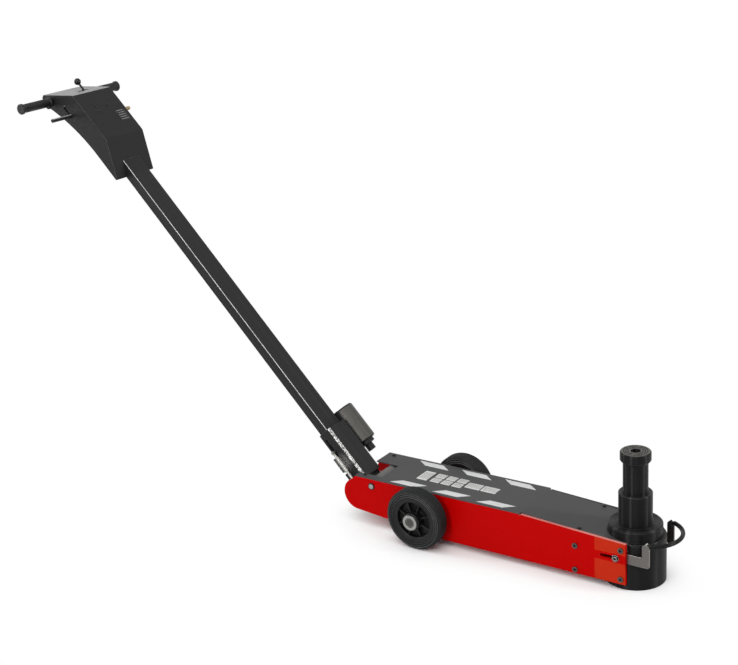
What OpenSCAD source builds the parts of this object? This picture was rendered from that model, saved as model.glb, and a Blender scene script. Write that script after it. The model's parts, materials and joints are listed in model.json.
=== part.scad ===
// Air-hydraulic trolley jack: a low two-plate chassis on two wheels, a two-stage lifting cylinder at
// its nose and a long tilting pull handle at its tail.
// Origin: on the floor, on the lifting cylinder's axis. +X points forward, past the cylinder, and the
// handle lies toward -X. +Y is the left side. Distances named "back" run from the cylinder toward -X.

/* [Chassis] */
// Width over the two side plates
frame_w = 163; // [158:1:190]
// Thickness of a side plate
plate_t = 8; // [6:0.5:10]
// Height of the side plates' level top edge
plate_top = 136.5; // [130:0.5:150]
// Height of the side plates' bottom edge
plate_bottom = 16; // [10:1:24]
// How far the side plates reach ahead of the cylinder axis
nose_reach = 12; // [8:1:16]
// Where the plates' top edge starts to slope down, back from the cylinder axis
bend_back = 266; // [240:1:300]
// Radius of the side plates' rounded tail
tail_r = 43; // [40:1:48]
// Thickness of the sheet under the chassis and of the tail's floor
floor_t = 5; // [3:0.5:8]
// Diameter of the cross bar between the side plates
cross_bar_d = 36; // [24:1:36]
// Where the cross bar sits, back from the cylinder axis
cross_bar_back = 700; // [698:1:702]
// Height of the cross bar
cross_bar_z = 118; // [114:1:118]
// Shank diameter of the side screws
side_screw_d = 8; // [6:1:10]
// Head diameter of the side screws
side_screw_head_d = 14; // [12:0.5:16]

/* [Cover] */
// Thickness of the top cover
cover_t = 2.7; // [2:0.1:3.2]
// Where the cover ends at the tail, back from the cylinder axis
cover_end_back = 750; // [746:1:752]
// How much deeper the cover drops than the plates' edge at the nose
cover_drop = 1.9; // [1.5:0.1:2.2]
// Depth of the handle notch in the cover's tail
notch_depth = 69; // [60:1:72]
// Head diameter of the cover screws
cover_screw_head_d = 10; // [7:0.5:10]
// Shank diameter of the cover screws
cover_screw_d = 5; // [4:0.5:6]

/* [Wheels] */
// Outer diameter of a wheel
wheel_d = 160; // [150:1:170]
// Width of a tyre
tyre_w = 38; // [30:1:44]
// Outer face of a tyre, from the middle of the jack
wheel_face = 136; // [130:1:150]
// Where the wheel axle sits, back from the cylinder axis
axle_back = 541; // [520:1:560]
// Diameter of the wheel axle
axle_d = 20; // [16:1:24]
// Diameter of the plastic wheel centre
rim_d = 118; // [110:1:126]
// Diameter of the dished hollow in the wheel centre
rim_dish_d = 92; // [84:1:100]
// Outer diameter of the wheel hub
hub_d = 46; // [42:1:52]
// Number of ribs in the wheel centre
rib_count = 8; // [5:1:10]

/* [Lifting cylinder] */
// Diameter of the cylinder body
body_d = 146.4; // [140:0.1:147]
// Height of the cylinder body
body_h = 116.6; // [108:0.1:124]
// Thickness of the closed bottom of the body
body_floor = 14; // [10:1:20]
// Diameter of the gland nut that closes the body
gland_d = 130; // [124:1:136]
// Height of the gland nut's top face
gland_top = 145; // [140:1:150]
// Outer diameter of the first ram
ram_1_d = 80.6; // [76:0.1:84]
// Height of the first ram's top face at rest
ram_1_top = 222; // [216:1:228]
// Outer diameter of the second ram
ram_2_d = 59.5; // [54:0.1:62]
// Diameter of the saddle
saddle_d = 73.4; // [68:0.1:80]
// Height of the saddle's rim
saddle_h = 28; // [22:1:34]
// Height of the saddle's top face at rest
saddle_top = 325.6; // [318:0.1:332]
// Diameter of the adaptor hole in the saddle
adaptor_hole_d = 24; // [18:1:26]

/* [Carry handle] */
// Thickness of the carry handle's flat bars
bar_t = 4; // [3:0.5:5]
// Height of the flat bars
bar_h = 25; // [20:1:27]
// Height of the flat bars' lower edge
bar_z = 68.5; // [66:0.5:70]
// Diameter of the round grip bar
grip_bar_d = 10.5; // [8:0.5:11]
// Bend radius of the round grip bar
grip_bar_r = 77; // [75:0.5:80]
// How far the carry handle slides back to nest around the gland nut
carry_travel = 36; // [30:1:36]

/* [Handle] */
// Height of the handle's pivot
pivot_z = 86; // [84:1:88]
// Where the handle's pivot sits, back from the cylinder axis
pivot_back = 745; // [743:1:747]
// Angle of the handle above the floor at rest
handle_angle = 47; // [45:1:49]
// How far the handle lies to the right of the jack's middle
handle_offset = 21; // [19:1:22]
// Width of the handle tube
tube_w = 62; // [58:1:64]
// Depth of the handle tube
tube_depth = 27.5; // [26:0.5:29]
// Wall of the handle tube
tube_wall = 3; // [2:0.5:3]
// Top of the handle tube, measured along the handle from the pivot
tube_end = 1230; // [1200:1:1234]
// Thickness of the sleeve's folded plate
sleeve_t = 5.2; // [4:0.1:5.4]
// Length of the sleeve above the pivot
sleeve_len = 183; // [178:1:190]
// Diameter of the pivot pin
pivot_pin_d = 20; // [16:1:22]

/* [Control head] */
// Width of the head's housing
head_w = 144; // [136:1:150]
// Thickness of the housing's sheet
head_t = 3; // [2:0.25:3.5]
// Length of the handlebar between its ends
handlebar_len = 364; // [340:1:400]
// Diameter of the handlebar
handlebar_d = 16; // [14:1:18]
// Gap between a grip and the housing
grip_gap = 5; // [3:1:20]
// Outer diameter of a grip's end flange
grip_flange_d = 28.5; // [24:0.5:30]
// Diameter of the release bar
release_bar_d = 10; // [8:0.5:10]
// How far the release bar stands out from the housing
release_bar_reach = 70; // [50:1:90]
// How far the release bar can be pulled toward the grips
release_travel = 30; // [20:1:30]
// Diameter of the lever's ball knob
knob_d = 19; // [16:1:24]

/* [Air motor] */
// Diameter of the air motor's barrel
motor_d = 60; // [50:1:62]
// Length of the air motor's barrel
motor_len = 101; // [80:1:110]

/* [Hidden] */
$fn = 96;

fit = 0.05;          // radial clearance of a shaft or pin in its bore
gap = 0.3;           // clearance between faces of pieces that move or are only laid together
through = 1;         // how far a cut runs past the face that it opens

// Chassis places
plate_y = frame_w / 2;                 // outer face of a side plate
inner_y = plate_y - plate_t;           // inner face of a side plate
nose_top = body_h + gap + cover_t + cover_drop;   // top edge of the side plates at the nose
between_w = 2 * (inner_y - gap);       // width of a piece that fits between the side plates
pivot_x = -pivot_back;
axle_x = -axle_back;
axle_z = wheel_d / 2;
bend_x = -bend_back;
tail_top_x = -cover_end_back - 1;      // where the top edge meets the slanted tail edge
slant_angle = 150;                     // where the slanted edge meets the tail's arc
bottom_rise_ahead = 53;                // where the bottom edge starts to rise toward the tail,
bottom_mid_behind = 116;               // and where it bends again, ahead of and behind the axle
bottom_rise_x = axle_x + bottom_rise_ahead;
bottom_mid_x = axle_x - bottom_mid_behind;
bottom_mid_z = pivot_z - 51;
slot_z = bar_z + bar_h / 2;
slot_bolt_x = -13;                     // carry handle bolt at rest, at the front of its slot
slot_bolt_d = 8;
slot_w = slot_bolt_d + 1;
side_screw_grip = 18;                  // thread of a side screw past the plate
side_screw_room = 2;                   // drilled depth past the screw's end
screw_room_y = inner_y - side_screw_grip - side_screw_room;   // inner end of its drilled hole
side_screw_head_h = 3.5;
front_screw_x = 0;                     // screws into the cylinder body
block_screw_x = -118;                  // screws into the front block
block_half = 26;                       // half length of the front block
block_top = 104;                       // top of the front block
side_screws_at = [[front_screw_x, body_h - 12.6], [front_screw_x, plate_bottom + 13],
                  [block_screw_x, block_top - 15], [block_screw_x, plate_bottom + 10]];
cover_screw_inset = 6;                 // cover screw centre from the side plate's inner face
cover_screw_backs = [727, 113];
cover_screw_grip = 9;                  // thread of a cover screw below the cover
cover_screw_head_h = 3.8;
tab_size = [18, 12, 10];               // threaded tab under a cover screw
spigot_r = 6.5;                        // end of the cross bar that shows outside the plate
spigot_out = 3.5;                      // how far it stands out
relief_r = 2;                          // relief hole at the bend of the plates' top edge
notch_gap = 2.5;                       // room beside the sleeve in the cover's notch
cover_top = plate_top + cover_t;
cover_nose_top = nose_top - cover_drop;

// Wheel places
hub_inner = wheel_face - tyre_w;       // inner face of wheel and tyre
hub_end = wheel_face + 9;              // outer end of the wheel hub
bush_wall = 4;
cup_r = 20;
cup_ring = 7;
cup_len = 6;
cup_floor = 3;                         // bottom of a cup, from the hub's end
clip_t = 1.2;
clip_seat = 3.5;                       // clip groove from the hub's end
clip_sink = 1;                         // depth of a clip groove
spacer_r = 14;

// Cylinder places
bore_r = 48;
body_neck_r = 58;                      // thread of the gland nut in the body
body_neck_h = 8.4;
body_edge = 3;                         // chamfered top edge of the body
flat_y = inner_y - gap - bar_t - gap;  // flats milled on the body for the carry handle
flat_room = 2;                         // how far a flat runs past the carry handle's bar
ram_1_piston_h = 14;
ram_1_room = 5.5;                      // travel left above the first ram's piston
ram_1_foot = body_h - body_neck_h + gap - ram_1_room - ram_1_piston_h;
ram_1_bore_r = 34;
ram_1_floor = 8;
inner_gland_r = 36.5;
inner_gland_h = 18;
ram_2_foot = 182;
ram_2_piston_h = 13;
saddle_stem_r = 14;
saddle_stem_len = 45;
saddle_skirt = 7;
port_z = plate_bottom + 12;
pipe_r = 4;
tank_from = -450;                      // oil tank
tank_to = -185;
tank_side = 60;
tank_top = 124;
tank_wall = 4;
valve_len = 33;                        // valve block behind the oil tank
valve_half = 30;
valve_top = 92;
pipe_in = 18;                          // pressure pipe in the valve block
pipe_end = 4;                          // wall between the pipe's front end and the bore

// Carry handle places
bar_y = inner_y - gap;                 // outer face of a flat bar
grip_x = 36;                           // centre of the round bar's bend
upright_top = 128;
grip_z = upright_top - 3.6;
upright_w = 18;
upright_x = 50;
bar_tail_x = slot_bolt_x - 12;

// Handle frame: local X is square to the handle's front face, local Z runs up along the handle
handle_y = -handle_offset;
tube_front = 20.5;
tube_back = tube_front - tube_depth;
tube_start = 26;
tube_side = tube_w / 2;
sleeve_side = tube_side + gap + sleeve_t;   // half width of the sleeve
sleeve_front = 35;
sleeve_round = 8;
web_start = 24;
cheek_r = 21;
bush_r = pivot_pin_d / 2 + 3.5;
floor_z = 44.5;
index_r = 36;
index_t = 8;
index_y = handle_y - sleeve_side - 2.5;     // inner face of the index plate
notch_w = 8;
notch_cut = 9;
tilt_down = 35;
tilt_up = 25;
plunger_y = handle_y - sleeve_side - 6.5;
plunger_h = 1;
plunger_r = 3.5;
plunger_tip = index_r + 1.2;
barrel_r = 6;
barrel_from = 65;
barrel_to = 111;
barrel_floor = 5;
barrel_wall = 0.9;
eye_s = 125;                           // cross pin in the plunger's eye
eye_pin_r = 2.6;
pin_slot_w = 8;                        // slot of that pin in the tube and the sleeve
pin_slot = [eye_s - 12, eye_s + release_travel + 9];
spring_wire = 1.1;
spring_turns = 9;
lug_y = handle_y + sleeve_side + 3;
lug_t = 10;
foot_back = 10;                        // foot of a pivot plate, behind and ahead of the pivot
foot_front = 26;

// Air motor places, in the handle frame
motor_r = motor_d / 2;
motor_h = 17;
motor_s = 107;
motor_wall = 3;
motor_cap_t = 4;
motor_plug_in = 8;                     // how far cap and base reach into the barrel
collar_len = 10;
collar_in = 9;                         // collar's radius under the barrel's
plug_len = 19;
plug_r = 11.5;
saddle_w = 12;                         // saddles of the bracket behind the barrel
saddle_half = 12;
saddles_at = [motor_s + 11, motor_s + 53];
arm = [motor_h - 13, motor_h + 9];     // bracket's arm on the sleeve's cheek
arm_t = 4;
arm_past_sleeve = 29;
motor_off_arm = 1;
motor_y = handle_y + sleeve_side + arm_t + motor_off_arm + motor_r;

// Head places, in the handle frame, measured along it from the end of the tube
head_right = handle_y - head_w / 2;
head_left = handle_y + head_w / 2;
head_top = [52, tube_end + 87];
head_mid = [54, tube_end - 69];
head_low = [-6, tube_end - 173];
head_rear = [-33, tube_end + 160];
head_heel = [-43, tube_end + 157];
rear_curve_from = tube_end - 80;
rear_curve_to = tube_end + 123;
rear_curve_depth = head_low[0] - head_heel[0];
bend_r = 5;
handlebar_at = [-24, tube_end + 128];
release_at = [3, tube_end + 55];
release_slot_w = release_bar_d + 1;
release_rod_y = handle_y - tube_side + tube_wall + 5;
release_rod_r = 3.5;
control_valve_w = 52;
control_valve_len = 60;
valve_at = [10.3, handle_y - 27, tube_end + 8];
valve_size = [head_top[0] - head_t - 0.1 - valve_at[0], control_valve_w,
              control_valve_len];
lever_pivot = [24, handle_y + 10, tube_end + 60];
lever_r = 3;
lever_pin_r = 2;
lever_pin_half = 9.4;
lever_slot = [handle_y - 14, handle_y + 27];
lever_slot_w = 9;
knob_s = tube_end + 142;
lever_slot_from = head_top[1] - 7;
head_screw_at = [[-44, tube_end + 39], [-1, tube_end + 32], [-44, tube_end + 20]];
head_screw_r = 2.5;
head_screw_len = 10;
inlet_s = valve_at[2] + 5;
inlet_h = 41;
inlet_r = 5;
bulkhead_s = tube_end - 94;
bulkhead_t = 4;
bulkhead_front = 34;
air_tube_r = 4;
grip_over = 3;                         // how far a grip reaches past the bar's end
grip_len = handlebar_len / 2 + grip_over - head_w / 2 - grip_gap;
grip_wall = 3.6;
grip_end_t = 6;                        // thickness of a grip's flange and collar
grip_ridges = 8;

function unit(v) = v / norm(v);
// Points of an arc of radius r that rounds the corner p1 between p0 and p2, in n steps
function corner(p0, p1, p2, r, n) =
    let (a = unit(p0 - p1), b = unit(p2 - p1), half = acos(a * b) / 2,
         c = p1 + unit(a + b) * r / sin(half), d = r / tan(half),
         v = p1 + a * d - c, w = p1 + b * d - c,
         from = atan2(v[1], v[0]), turn = atan2(w[1], w[0]) - from,
         sweep = turn > 180 ? turn - 360 : turn < -180 ? turn + 360 : turn)
    [for (i = [0 : n]) c + r * [cos(from + sweep * i / n), sin(from + sweep * i / n)]];
// Rear edge of the head's side face: straight along the tube, then curving back to the grips
function rear_edge(s) = head_low[0]
    - rear_curve_depth * pow(max(0, s - rear_curve_from) / (rear_curve_to - rear_curve_from), 2);

// Extrudes a profile drawn in X and Z from y0 to y1
module slab(y0, y1) {
    translate([0, y1, 0]) rotate([90, 0, 0]) linear_extrude(y1 - y0) children();
}
// Rod along Y at x, z from y0 to y1
module rod_y(x, z, y0, y1, r) {
    translate([x, y0, z]) rotate([-90, 0, 0]) cylinder(h = y1 - y0, r = r);
}
// Rod along Z at x, y from z0 to z1
module rod_z(x, y, z0, z1, r) {
    translate([x, y, z0]) cylinder(h = z1 - z0, r = r);
}
// Ring round the Z axis from z0 to z1
module ring_z(z0, z1, r_out, r_in) {
    difference() {
        rod_z(0, 0, z0, z1, r_out);
        rod_z(0, 0, z0 - through, z1 + through, r_in);
    }
}
// Ring round a Y axis at x, z from y0 to y1
module ring_y(x, z, y0, y1, r_out, r_in) {
    difference() {
        rod_y(x, z, y0, y1, r_out);
        rod_y(x, z, y0 - through, y1 + through, r_in);
    }
}
module block(low, high) {
    translate(low) cube(high - low);
}
// Both sides of the jack
module both_sides() {
    children();
    mirror([0, 1, 0]) children();
}
module on_handle() {
    translate([pivot_x, 0, pivot_z]) rotate([0, handle_angle - 90, 0]) children();
}
// Dome of radius r and height h, standing on z = 0
module dome(r, h) {
    ball_r = (r * r + h * h) / (2 * h);
    intersection() {
        translate([0, 0, h - ball_r]) sphere(r = ball_r);
        cylinder(h = h, r = r);
    }
}

// ---- Chassis ----

module plate_outline() {
    union() {
        translate([pivot_x, pivot_z]) circle(r = tail_r);
        polygon([[nose_reach, plate_bottom], [nose_reach, nose_top], [bend_x, plate_top],
                 [tail_top_x, plate_top],
                 [pivot_x + tail_r * cos(slant_angle), pivot_z + tail_r * sin(slant_angle)],
                 [pivot_x, pivot_z], [pivot_x, pivot_z - tail_r],
                 [bottom_mid_x, bottom_mid_z], [bottom_rise_x, plate_bottom]]);
    }
}
// Right side plate with its two threaded tabs for the cover
module side_plate() {
    difference() {
        union() {
            slab(-plate_y, -inner_y) plate_outline();
            for (back = cover_screw_backs)
                cover_tab(-back);
        }
        for (at = side_screws_at)
            rod_y(at[0], at[1], -plate_y - through, -inner_y + through, side_screw_d / 2 + fit);
        rod_y(axle_x, axle_z, -plate_y - through, -inner_y + through, axle_d / 2 + fit);
        rod_y(-cross_bar_back, cross_bar_z, -plate_y - through, -inner_y + through, spigot_r + fit);
        rod_y(slot_bolt_x, slot_z, -plate_y - through, -inner_y + through, slot_w / 2);
        rod_y(slot_bolt_x - carry_travel, slot_z, -plate_y - through, -inner_y + through, slot_w / 2);
        block([slot_bolt_x - carry_travel, -plate_y - through, slot_z - slot_w / 2],
              [slot_bolt_x, -inner_y + through, slot_z + slot_w / 2]);
        rod_y(bend_x, plate_top, -plate_y - through, -inner_y + through, relief_r);
        for (back = cover_screw_backs)
            rod_z(-back, -inner_y + cover_screw_inset, cover_under(-back) - tab_size[2] - through,
                  cover_under(-back) + through, cover_screw_d / 2 + fit);
    }
}
// Height of the cover's underside at x
function cover_under(x) = x < bend_x ? plate_top
    : plate_top - (plate_top + cover_t - cover_nose_top) * (x - bend_x) / (nose_reach - bend_x);
module cover_tab(x) {
    top = cover_under(x + tab_size[0] / 2);
    block([x - tab_size[0] / 2, -inner_y - through, top - tab_size[2]],
          [x + tab_size[0] / 2, -inner_y + tab_size[1], top]);
}
module side_plate_right() {
    color("firebrick") side_plate();
}
module side_plate_left() {
    color("firebrick") mirror([0, 1, 0]) side_plate();
}

module top_cover() {
    notch_right = handle_y - sleeve_side - notch_gap;
    notch_left = handle_y + sleeve_side + notch_gap;
    color("dimgray") difference() {
        union() {
            block([-cover_end_back, -plate_y, plate_top], [bend_x, plate_y, cover_top]);
            slab(-between_w / 2, between_w / 2)
                polygon([[bend_x, cover_top - cover_t], [bend_x, cover_top],
                         [nose_reach, cover_nose_top], [nose_reach, cover_nose_top - cover_t]]);
        }
        block([-cover_end_back - through, notch_right, plate_top - through],
              [-cover_end_back + notch_depth, notch_left, cover_top + through]);
        rod_z(0, 0, body_h - through, cover_top, gland_d / 2 + 1);
        both_sides() for (back = cover_screw_backs)
            rod_z(-back, -inner_y + cover_screw_inset, cover_under(-back) - cover_t,
                  cover_top + through, cover_screw_d / 2 + fit);
    }
}

module cover_screws() {
    color("black") both_sides() for (back = cover_screw_backs)
        translate([-back, -inner_y + cover_screw_inset, cover_under(-back) + cover_t + gap]) {
            dome(cover_screw_head_d / 2, cover_screw_head_h);
            rod_z(0, 0, -cover_t - cover_screw_grip, through, cover_screw_d / 2);
        }
}

// Socket-head screw along +Y, its head's seat at y = 0
module socket_screw(shank_r, shank_len, head_r, head_h) {
    difference() {
        union() {
            rod_y(0, 0, -head_h, 0, head_r);
            rod_y(0, 0, -through, shank_len, shank_r);
        }
        translate([0, -head_h - through, 0]) rotate([-90, 0, 0])
            cylinder(h = head_h * 0.6 + through, r = head_r * 0.55, $fn = 6);
    }
}
module side_screws() {
    color("dimgray") both_sides() for (at = side_screws_at)
        translate([at[0], -plate_y, at[1]])
            socket_screw(side_screw_d / 2, plate_t + side_screw_grip, side_screw_head_d / 2,
                         side_screw_head_h);
}

module front_block() {
    color("firebrick") difference() {
        block([block_screw_x - block_half, -between_w / 2, plate_bottom + floor_t],
              [block_screw_x + block_half, between_w / 2, block_top]);
        both_sides() for (at = side_screws_at)
            rod_y(at[0], at[1], -plate_y, -screw_room_y, side_screw_d / 2 + fit);
        translate([block_screw_x - block_half - through, 0, port_z]) rotate([0, 90, 0])
            cylinder(h = 2 * (block_half + through), r = pipe_r + fit);
    }
}

module bottom_plate() {
    color("firebrick")
        block([bottom_rise_x, -between_w / 2, plate_bottom],
              [block_screw_x + block_half, between_w / 2, plate_bottom + floor_t]);
}

module rear_floor() {
    color("firebrick")
        block([pivot_x - foot_back, -between_w / 2, floor_z],
              [-cross_bar_back + 41, between_w / 2, floor_z + floor_t]);
}

module cross_bar() {
    color("gray") {
        rod_y(-cross_bar_back, cross_bar_z, -between_w / 2, between_w / 2, cross_bar_d / 2);
        rod_y(-cross_bar_back, cross_bar_z, -plate_y - spigot_out, plate_y + spigot_out, spigot_r);
    }
}
module cross_bar_rings() {
    color("black") both_sides()
        ring_y(-cross_bar_back, cross_bar_z, -plate_y - spigot_out + 1, -plate_y,
               spigot_r * 1.4, spigot_r + fit);
}

// ---- Wheels ----

module wheel_axle() {
    color("dimgray") difference() {
        rod_y(axle_x, axle_z, -hub_end - cup_len + 1, hub_end + cup_len - 1, axle_d / 2);
        both_sides()
            ring_y(axle_x, axle_z, -hub_end - clip_seat - clip_t, -hub_end - clip_seat,
                   axle_d, axle_d / 2 - clip_sink);
    }
}
module axle_spacers() {
    color("silver") both_sides()
        ring_y(axle_x, axle_z, -hub_inner + gap, -plate_y, spacer_r, axle_d / 2 + fit);
}
module axle_cups() {
    color("silver") both_sides() difference() {
        rod_y(axle_x, axle_z, -hub_end - cup_len, -hub_end - gap, cup_r);
        rod_y(axle_x, axle_z, -hub_end - cup_len - through, -hub_end - cup_floor, cup_r - cup_ring);
        rod_y(axle_x, axle_z, -hub_end - cup_len, -hub_end + through, axle_d / 2 + fit);
    }
}
// Clips that sit in the grooves of the wheel axle and of the pivot pin
module retaining_clips() {
    color("gray") {
        both_sides()
            ring_y(axle_x, axle_z, -hub_end - clip_seat - clip_t + fit, -hub_end - clip_seat - fit,
                   axle_d / 2 + 2, axle_d / 2 - clip_sink + fit);
        ring_y(pivot_x, pivot_z, lug_y + lug_t + fit, lug_y + lug_t + clip_t - fit,
               pivot_pin_d / 2 + 3, pivot_pin_d / 2 - clip_sink + fit);
    }
}

// Tyre section, from the rim outward in X, across the wheel in Y
module tyre_section() {
    r_out = wheel_d / 2;
    r_in = rim_d / 2;
    shoulder = 9;
    difference() {
        union() {
            translate([r_in, 0]) square([r_out - r_in - shoulder, tyre_w]);
            translate([r_in, shoulder]) square([r_out - r_in, tyre_w - 2 * shoulder]);
            for (y = [shoulder, tyre_w - shoulder])
                translate([r_out - shoulder, y]) circle(r = shoulder);
        }
        for (r = [r_in + 4.5, r_in + 9.5], y = [0, tyre_w])
            translate([r, y]) circle(r = 1.1, $fn = 24);
    }
}
module tyre(face) {
    translate([axle_x, -face, axle_z]) rotate([-90, 0, 0]) rotate_extrude() tyre_section();
}
module tyre_right() {
    color([0.16, 0.16, 0.17]) tyre(wheel_face);
}
module tyre_left() {
    color([0.16, 0.16, 0.17]) mirror([0, 1, 0]) tyre(wheel_face);
}

// Plastic wheel centre: bead ring, thin web half way across, ribs and hub
module rim() {
    r_out = rim_d / 2 - 0.02;
    web_r = rim_dish_d / 2;
    rib_t = 3;
    translate([axle_x, -wheel_face, axle_z]) rotate([-90, 0, 0]) difference() {
        union() {
            rod_z(0, 0, 0.6, tyre_w - 0.6, r_out);
            rod_z(0, 0, -hub_end + wheel_face, tyre_w, hub_d / 2);
        }
        difference() {
            union() {
                rod_z(0, 0, -through, tyre_w * 0.42, web_r);
                rod_z(0, 0, tyre_w * 0.58, tyre_w + through, web_r);
            }
            rod_z(0, 0, -hub_end, tyre_w + through, hub_d / 2);
            for (i = [0 : rib_count - 1])
                rotate([0, 0, (i + 0.5) * 360 / rib_count])
                    block([hub_d / 2 - 3, -rib_t / 2, 3], [web_r + 3, rib_t / 2, tyre_w - 3]);
        }
        rod_z(0, 0, -hub_end, tyre_w + through, axle_d / 2 + bush_wall);
    }
}
module rim_right() {
    color([0.07, 0.07, 0.07]) rim();
}
module rim_left() {
    color([0.07, 0.07, 0.07]) mirror([0, 1, 0]) rim();
}
module bush() {
    ring_y(axle_x, axle_z, -hub_end, -hub_inner, axle_d / 2 + bush_wall - 0.02, axle_d / 2 + fit);
}
module bush_right() {
    color("goldenrod") bush();
}
module bush_left() {
    color("goldenrod") mirror([0, 1, 0]) bush();
}

// ---- Lifting cylinder ----

module cylinder_body() {
    color([0.09, 0.09, 0.1]) difference() {
        union() {
            rod_z(0, 0, 0, body_h - body_edge, body_d / 2);
            translate([0, 0, body_h - body_edge])
                cylinder(h = body_edge, r1 = body_d / 2, r2 = body_d / 2 - body_edge * 2 / 3);
        }
        rod_z(0, 0, body_floor, body_h + through, bore_r);
        rod_z(0, 0, body_h - body_neck_h, body_h + through, body_neck_r + fit);
        both_sides() {
            // keeps a thicker body clear of the side plates
            block([-body_d, -body_d, -through], [body_d, -inner_y + gap / 2, body_h + through]);
            block([-body_d, -body_d, bar_z - flat_room], [body_d, -flat_y, bar_z + bar_h + flat_room]);
            block([nose_reach, -body_d, bar_z - flat_room], [body_d, -flat_y, body_h + through]);
            for (at = side_screws_at)
                rod_y(at[0], at[1], -plate_y, -screw_room_y, side_screw_d / 2 + fit);
        }
        translate([-body_d, 0, port_z]) rotate([0, 90, 0]) cylinder(h = body_d, r = pipe_r + fit);
    }
}
module gland_nut() {
    top_round = 3;
    color([0.09, 0.09, 0.1]) difference() {
        union() {
            rod_z(0, 0, body_h - body_neck_h + gap, body_h + through, body_neck_r);
            rod_z(0, 0, body_h + 2.4, gland_top - top_round, gland_d / 2);
            rod_z(0, 0, body_h, body_h + 3, gland_d / 2 - 3);
            translate([0, 0, gland_top - top_round])
                cylinder(h = top_round, r1 = gland_d / 2, r2 = gland_d / 2 - top_round);
        }
        rod_z(0, 0, 0, saddle_top, ram_1_d / 2 + fit);
        rod_z(0, 0, gland_top - 5, gland_top + through, ram_1_d / 2 + 5);
    }
}
module gland_wiper() {
    color([0.03, 0.03, 0.03])
        ring_z(gland_top - 5, gland_top + 0.8, ram_1_d / 2 + 5 - fit, ram_1_d / 2 + fit);
}
module ram_1() {
    edge = 1.6;
    color([0.12, 0.12, 0.13]) difference() {
        union() {
            rod_z(0, 0, ram_1_foot, ram_1_top - edge, ram_1_d / 2);
            rod_z(0, 0, ram_1_foot, ram_1_foot + ram_1_piston_h, bore_r - fit);
            translate([0, 0, ram_1_top - edge])
                cylinder(h = edge, r1 = ram_1_d / 2, r2 = ram_1_d / 2 - edge);
        }
        rod_z(0, 0, ram_1_foot + ram_1_floor, ram_1_top + through, ram_1_bore_r);
        rod_z(0, 0, ram_1_top - inner_gland_h, ram_1_top + through, inner_gland_r);
        rod_z(0, 0, ram_1_foot - through, ram_1_top, 6);
    }
}
module ram_1_gland() {
    color([0.1, 0.1, 0.11])
        ring_z(ram_1_top - inner_gland_h, ram_1_top - 0.4, inner_gland_r - fit, ram_2_d / 2 + fit);
}
module ram_2() {
    top = saddle_top - saddle_h;
    color([0.14, 0.14, 0.15]) difference() {
        union() {
            rod_z(0, 0, ram_2_foot, top, ram_2_d / 2);
            rod_z(0, 0, ram_2_foot, ram_2_foot + ram_2_piston_h, ram_1_bore_r - fit);
        }
        rod_z(0, 0, top - saddle_stem_len - 2, top + through, saddle_stem_r + fit);
    }
}
// Saddle section: rounded rim, chamfer below, concentric grooves on top
module saddle_section() {
    r = saddle_d / 2;
    foot_r = ram_2_d / 2 + 1.5;
    rim_round = 4;
    difference() {
        union() {
            polygon([[0, 0], [foot_r, 0], [r, saddle_skirt], [r, saddle_h - rim_round],
                     [r - rim_round, saddle_h], [0, saddle_h]]);
            translate([r - rim_round, saddle_h - rim_round]) circle(r = rim_round);
        }
        for (groove = [0 : 2])
            translate([adaptor_hole_d / 2 + 4.5 + groove * 5, saddle_h - 1.4]) square([2.4, 1.4 + through]);
    }
}
module saddle() {
    base = saddle_top - saddle_h;
    color([0.1, 0.1, 0.1]) difference() {
        union() {
            translate([0, 0, base]) rotate_extrude() saddle_section();
            rod_z(0, 0, base - saddle_stem_len, base + through, saddle_stem_r);
        }
        rod_z(0, 0, saddle_top - 16, saddle_top + through, adaptor_hole_d / 2);
    }
}

// ---- Hydraulics inside the chassis ----

module oil_tank() {
    color("dimgray") difference() {
        block([tank_from, -tank_side, plate_bottom + floor_t], [tank_to, tank_side, tank_top]);
        block([tank_from + tank_wall, -tank_side + tank_wall, port_z + 2 * pipe_r + tank_wall],
              [tank_to - tank_wall, tank_side - tank_wall, tank_top - tank_wall]);
        // tunnel that the pressure pipe runs through
        block([tank_from - through, -2 * pipe_r, plate_bottom + floor_t - through],
              [tank_to + through, 2 * pipe_r, port_z + 2 * pipe_r]);
    }
}
module valve_block() {
    color("gray") difference() {
        block([tank_from - gap - valve_len, -valve_half, plate_bottom + floor_t],
              [tank_from - gap, valve_half, valve_top]);
        translate([tank_from - pipe_in - 2, 0, port_z]) rotate([0, 90, 0])
            cylinder(h = pipe_in + 2 + through, r = pipe_r + fit);
    }
}
module pressure_pipe() {
    color("silver") difference() {
        translate([tank_from - pipe_in, 0, port_z]) rotate([0, 90, 0])
            cylinder(h = pipe_in - tank_from - bore_r - pipe_end, r = pipe_r);
        translate([tank_from - pipe_in - through, 0, port_z]) rotate([0, 90, 0])
            cylinder(h = pipe_in - tank_from, r = pipe_r - 1.5);
    }
}

// ---- Handle pivot ----

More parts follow.
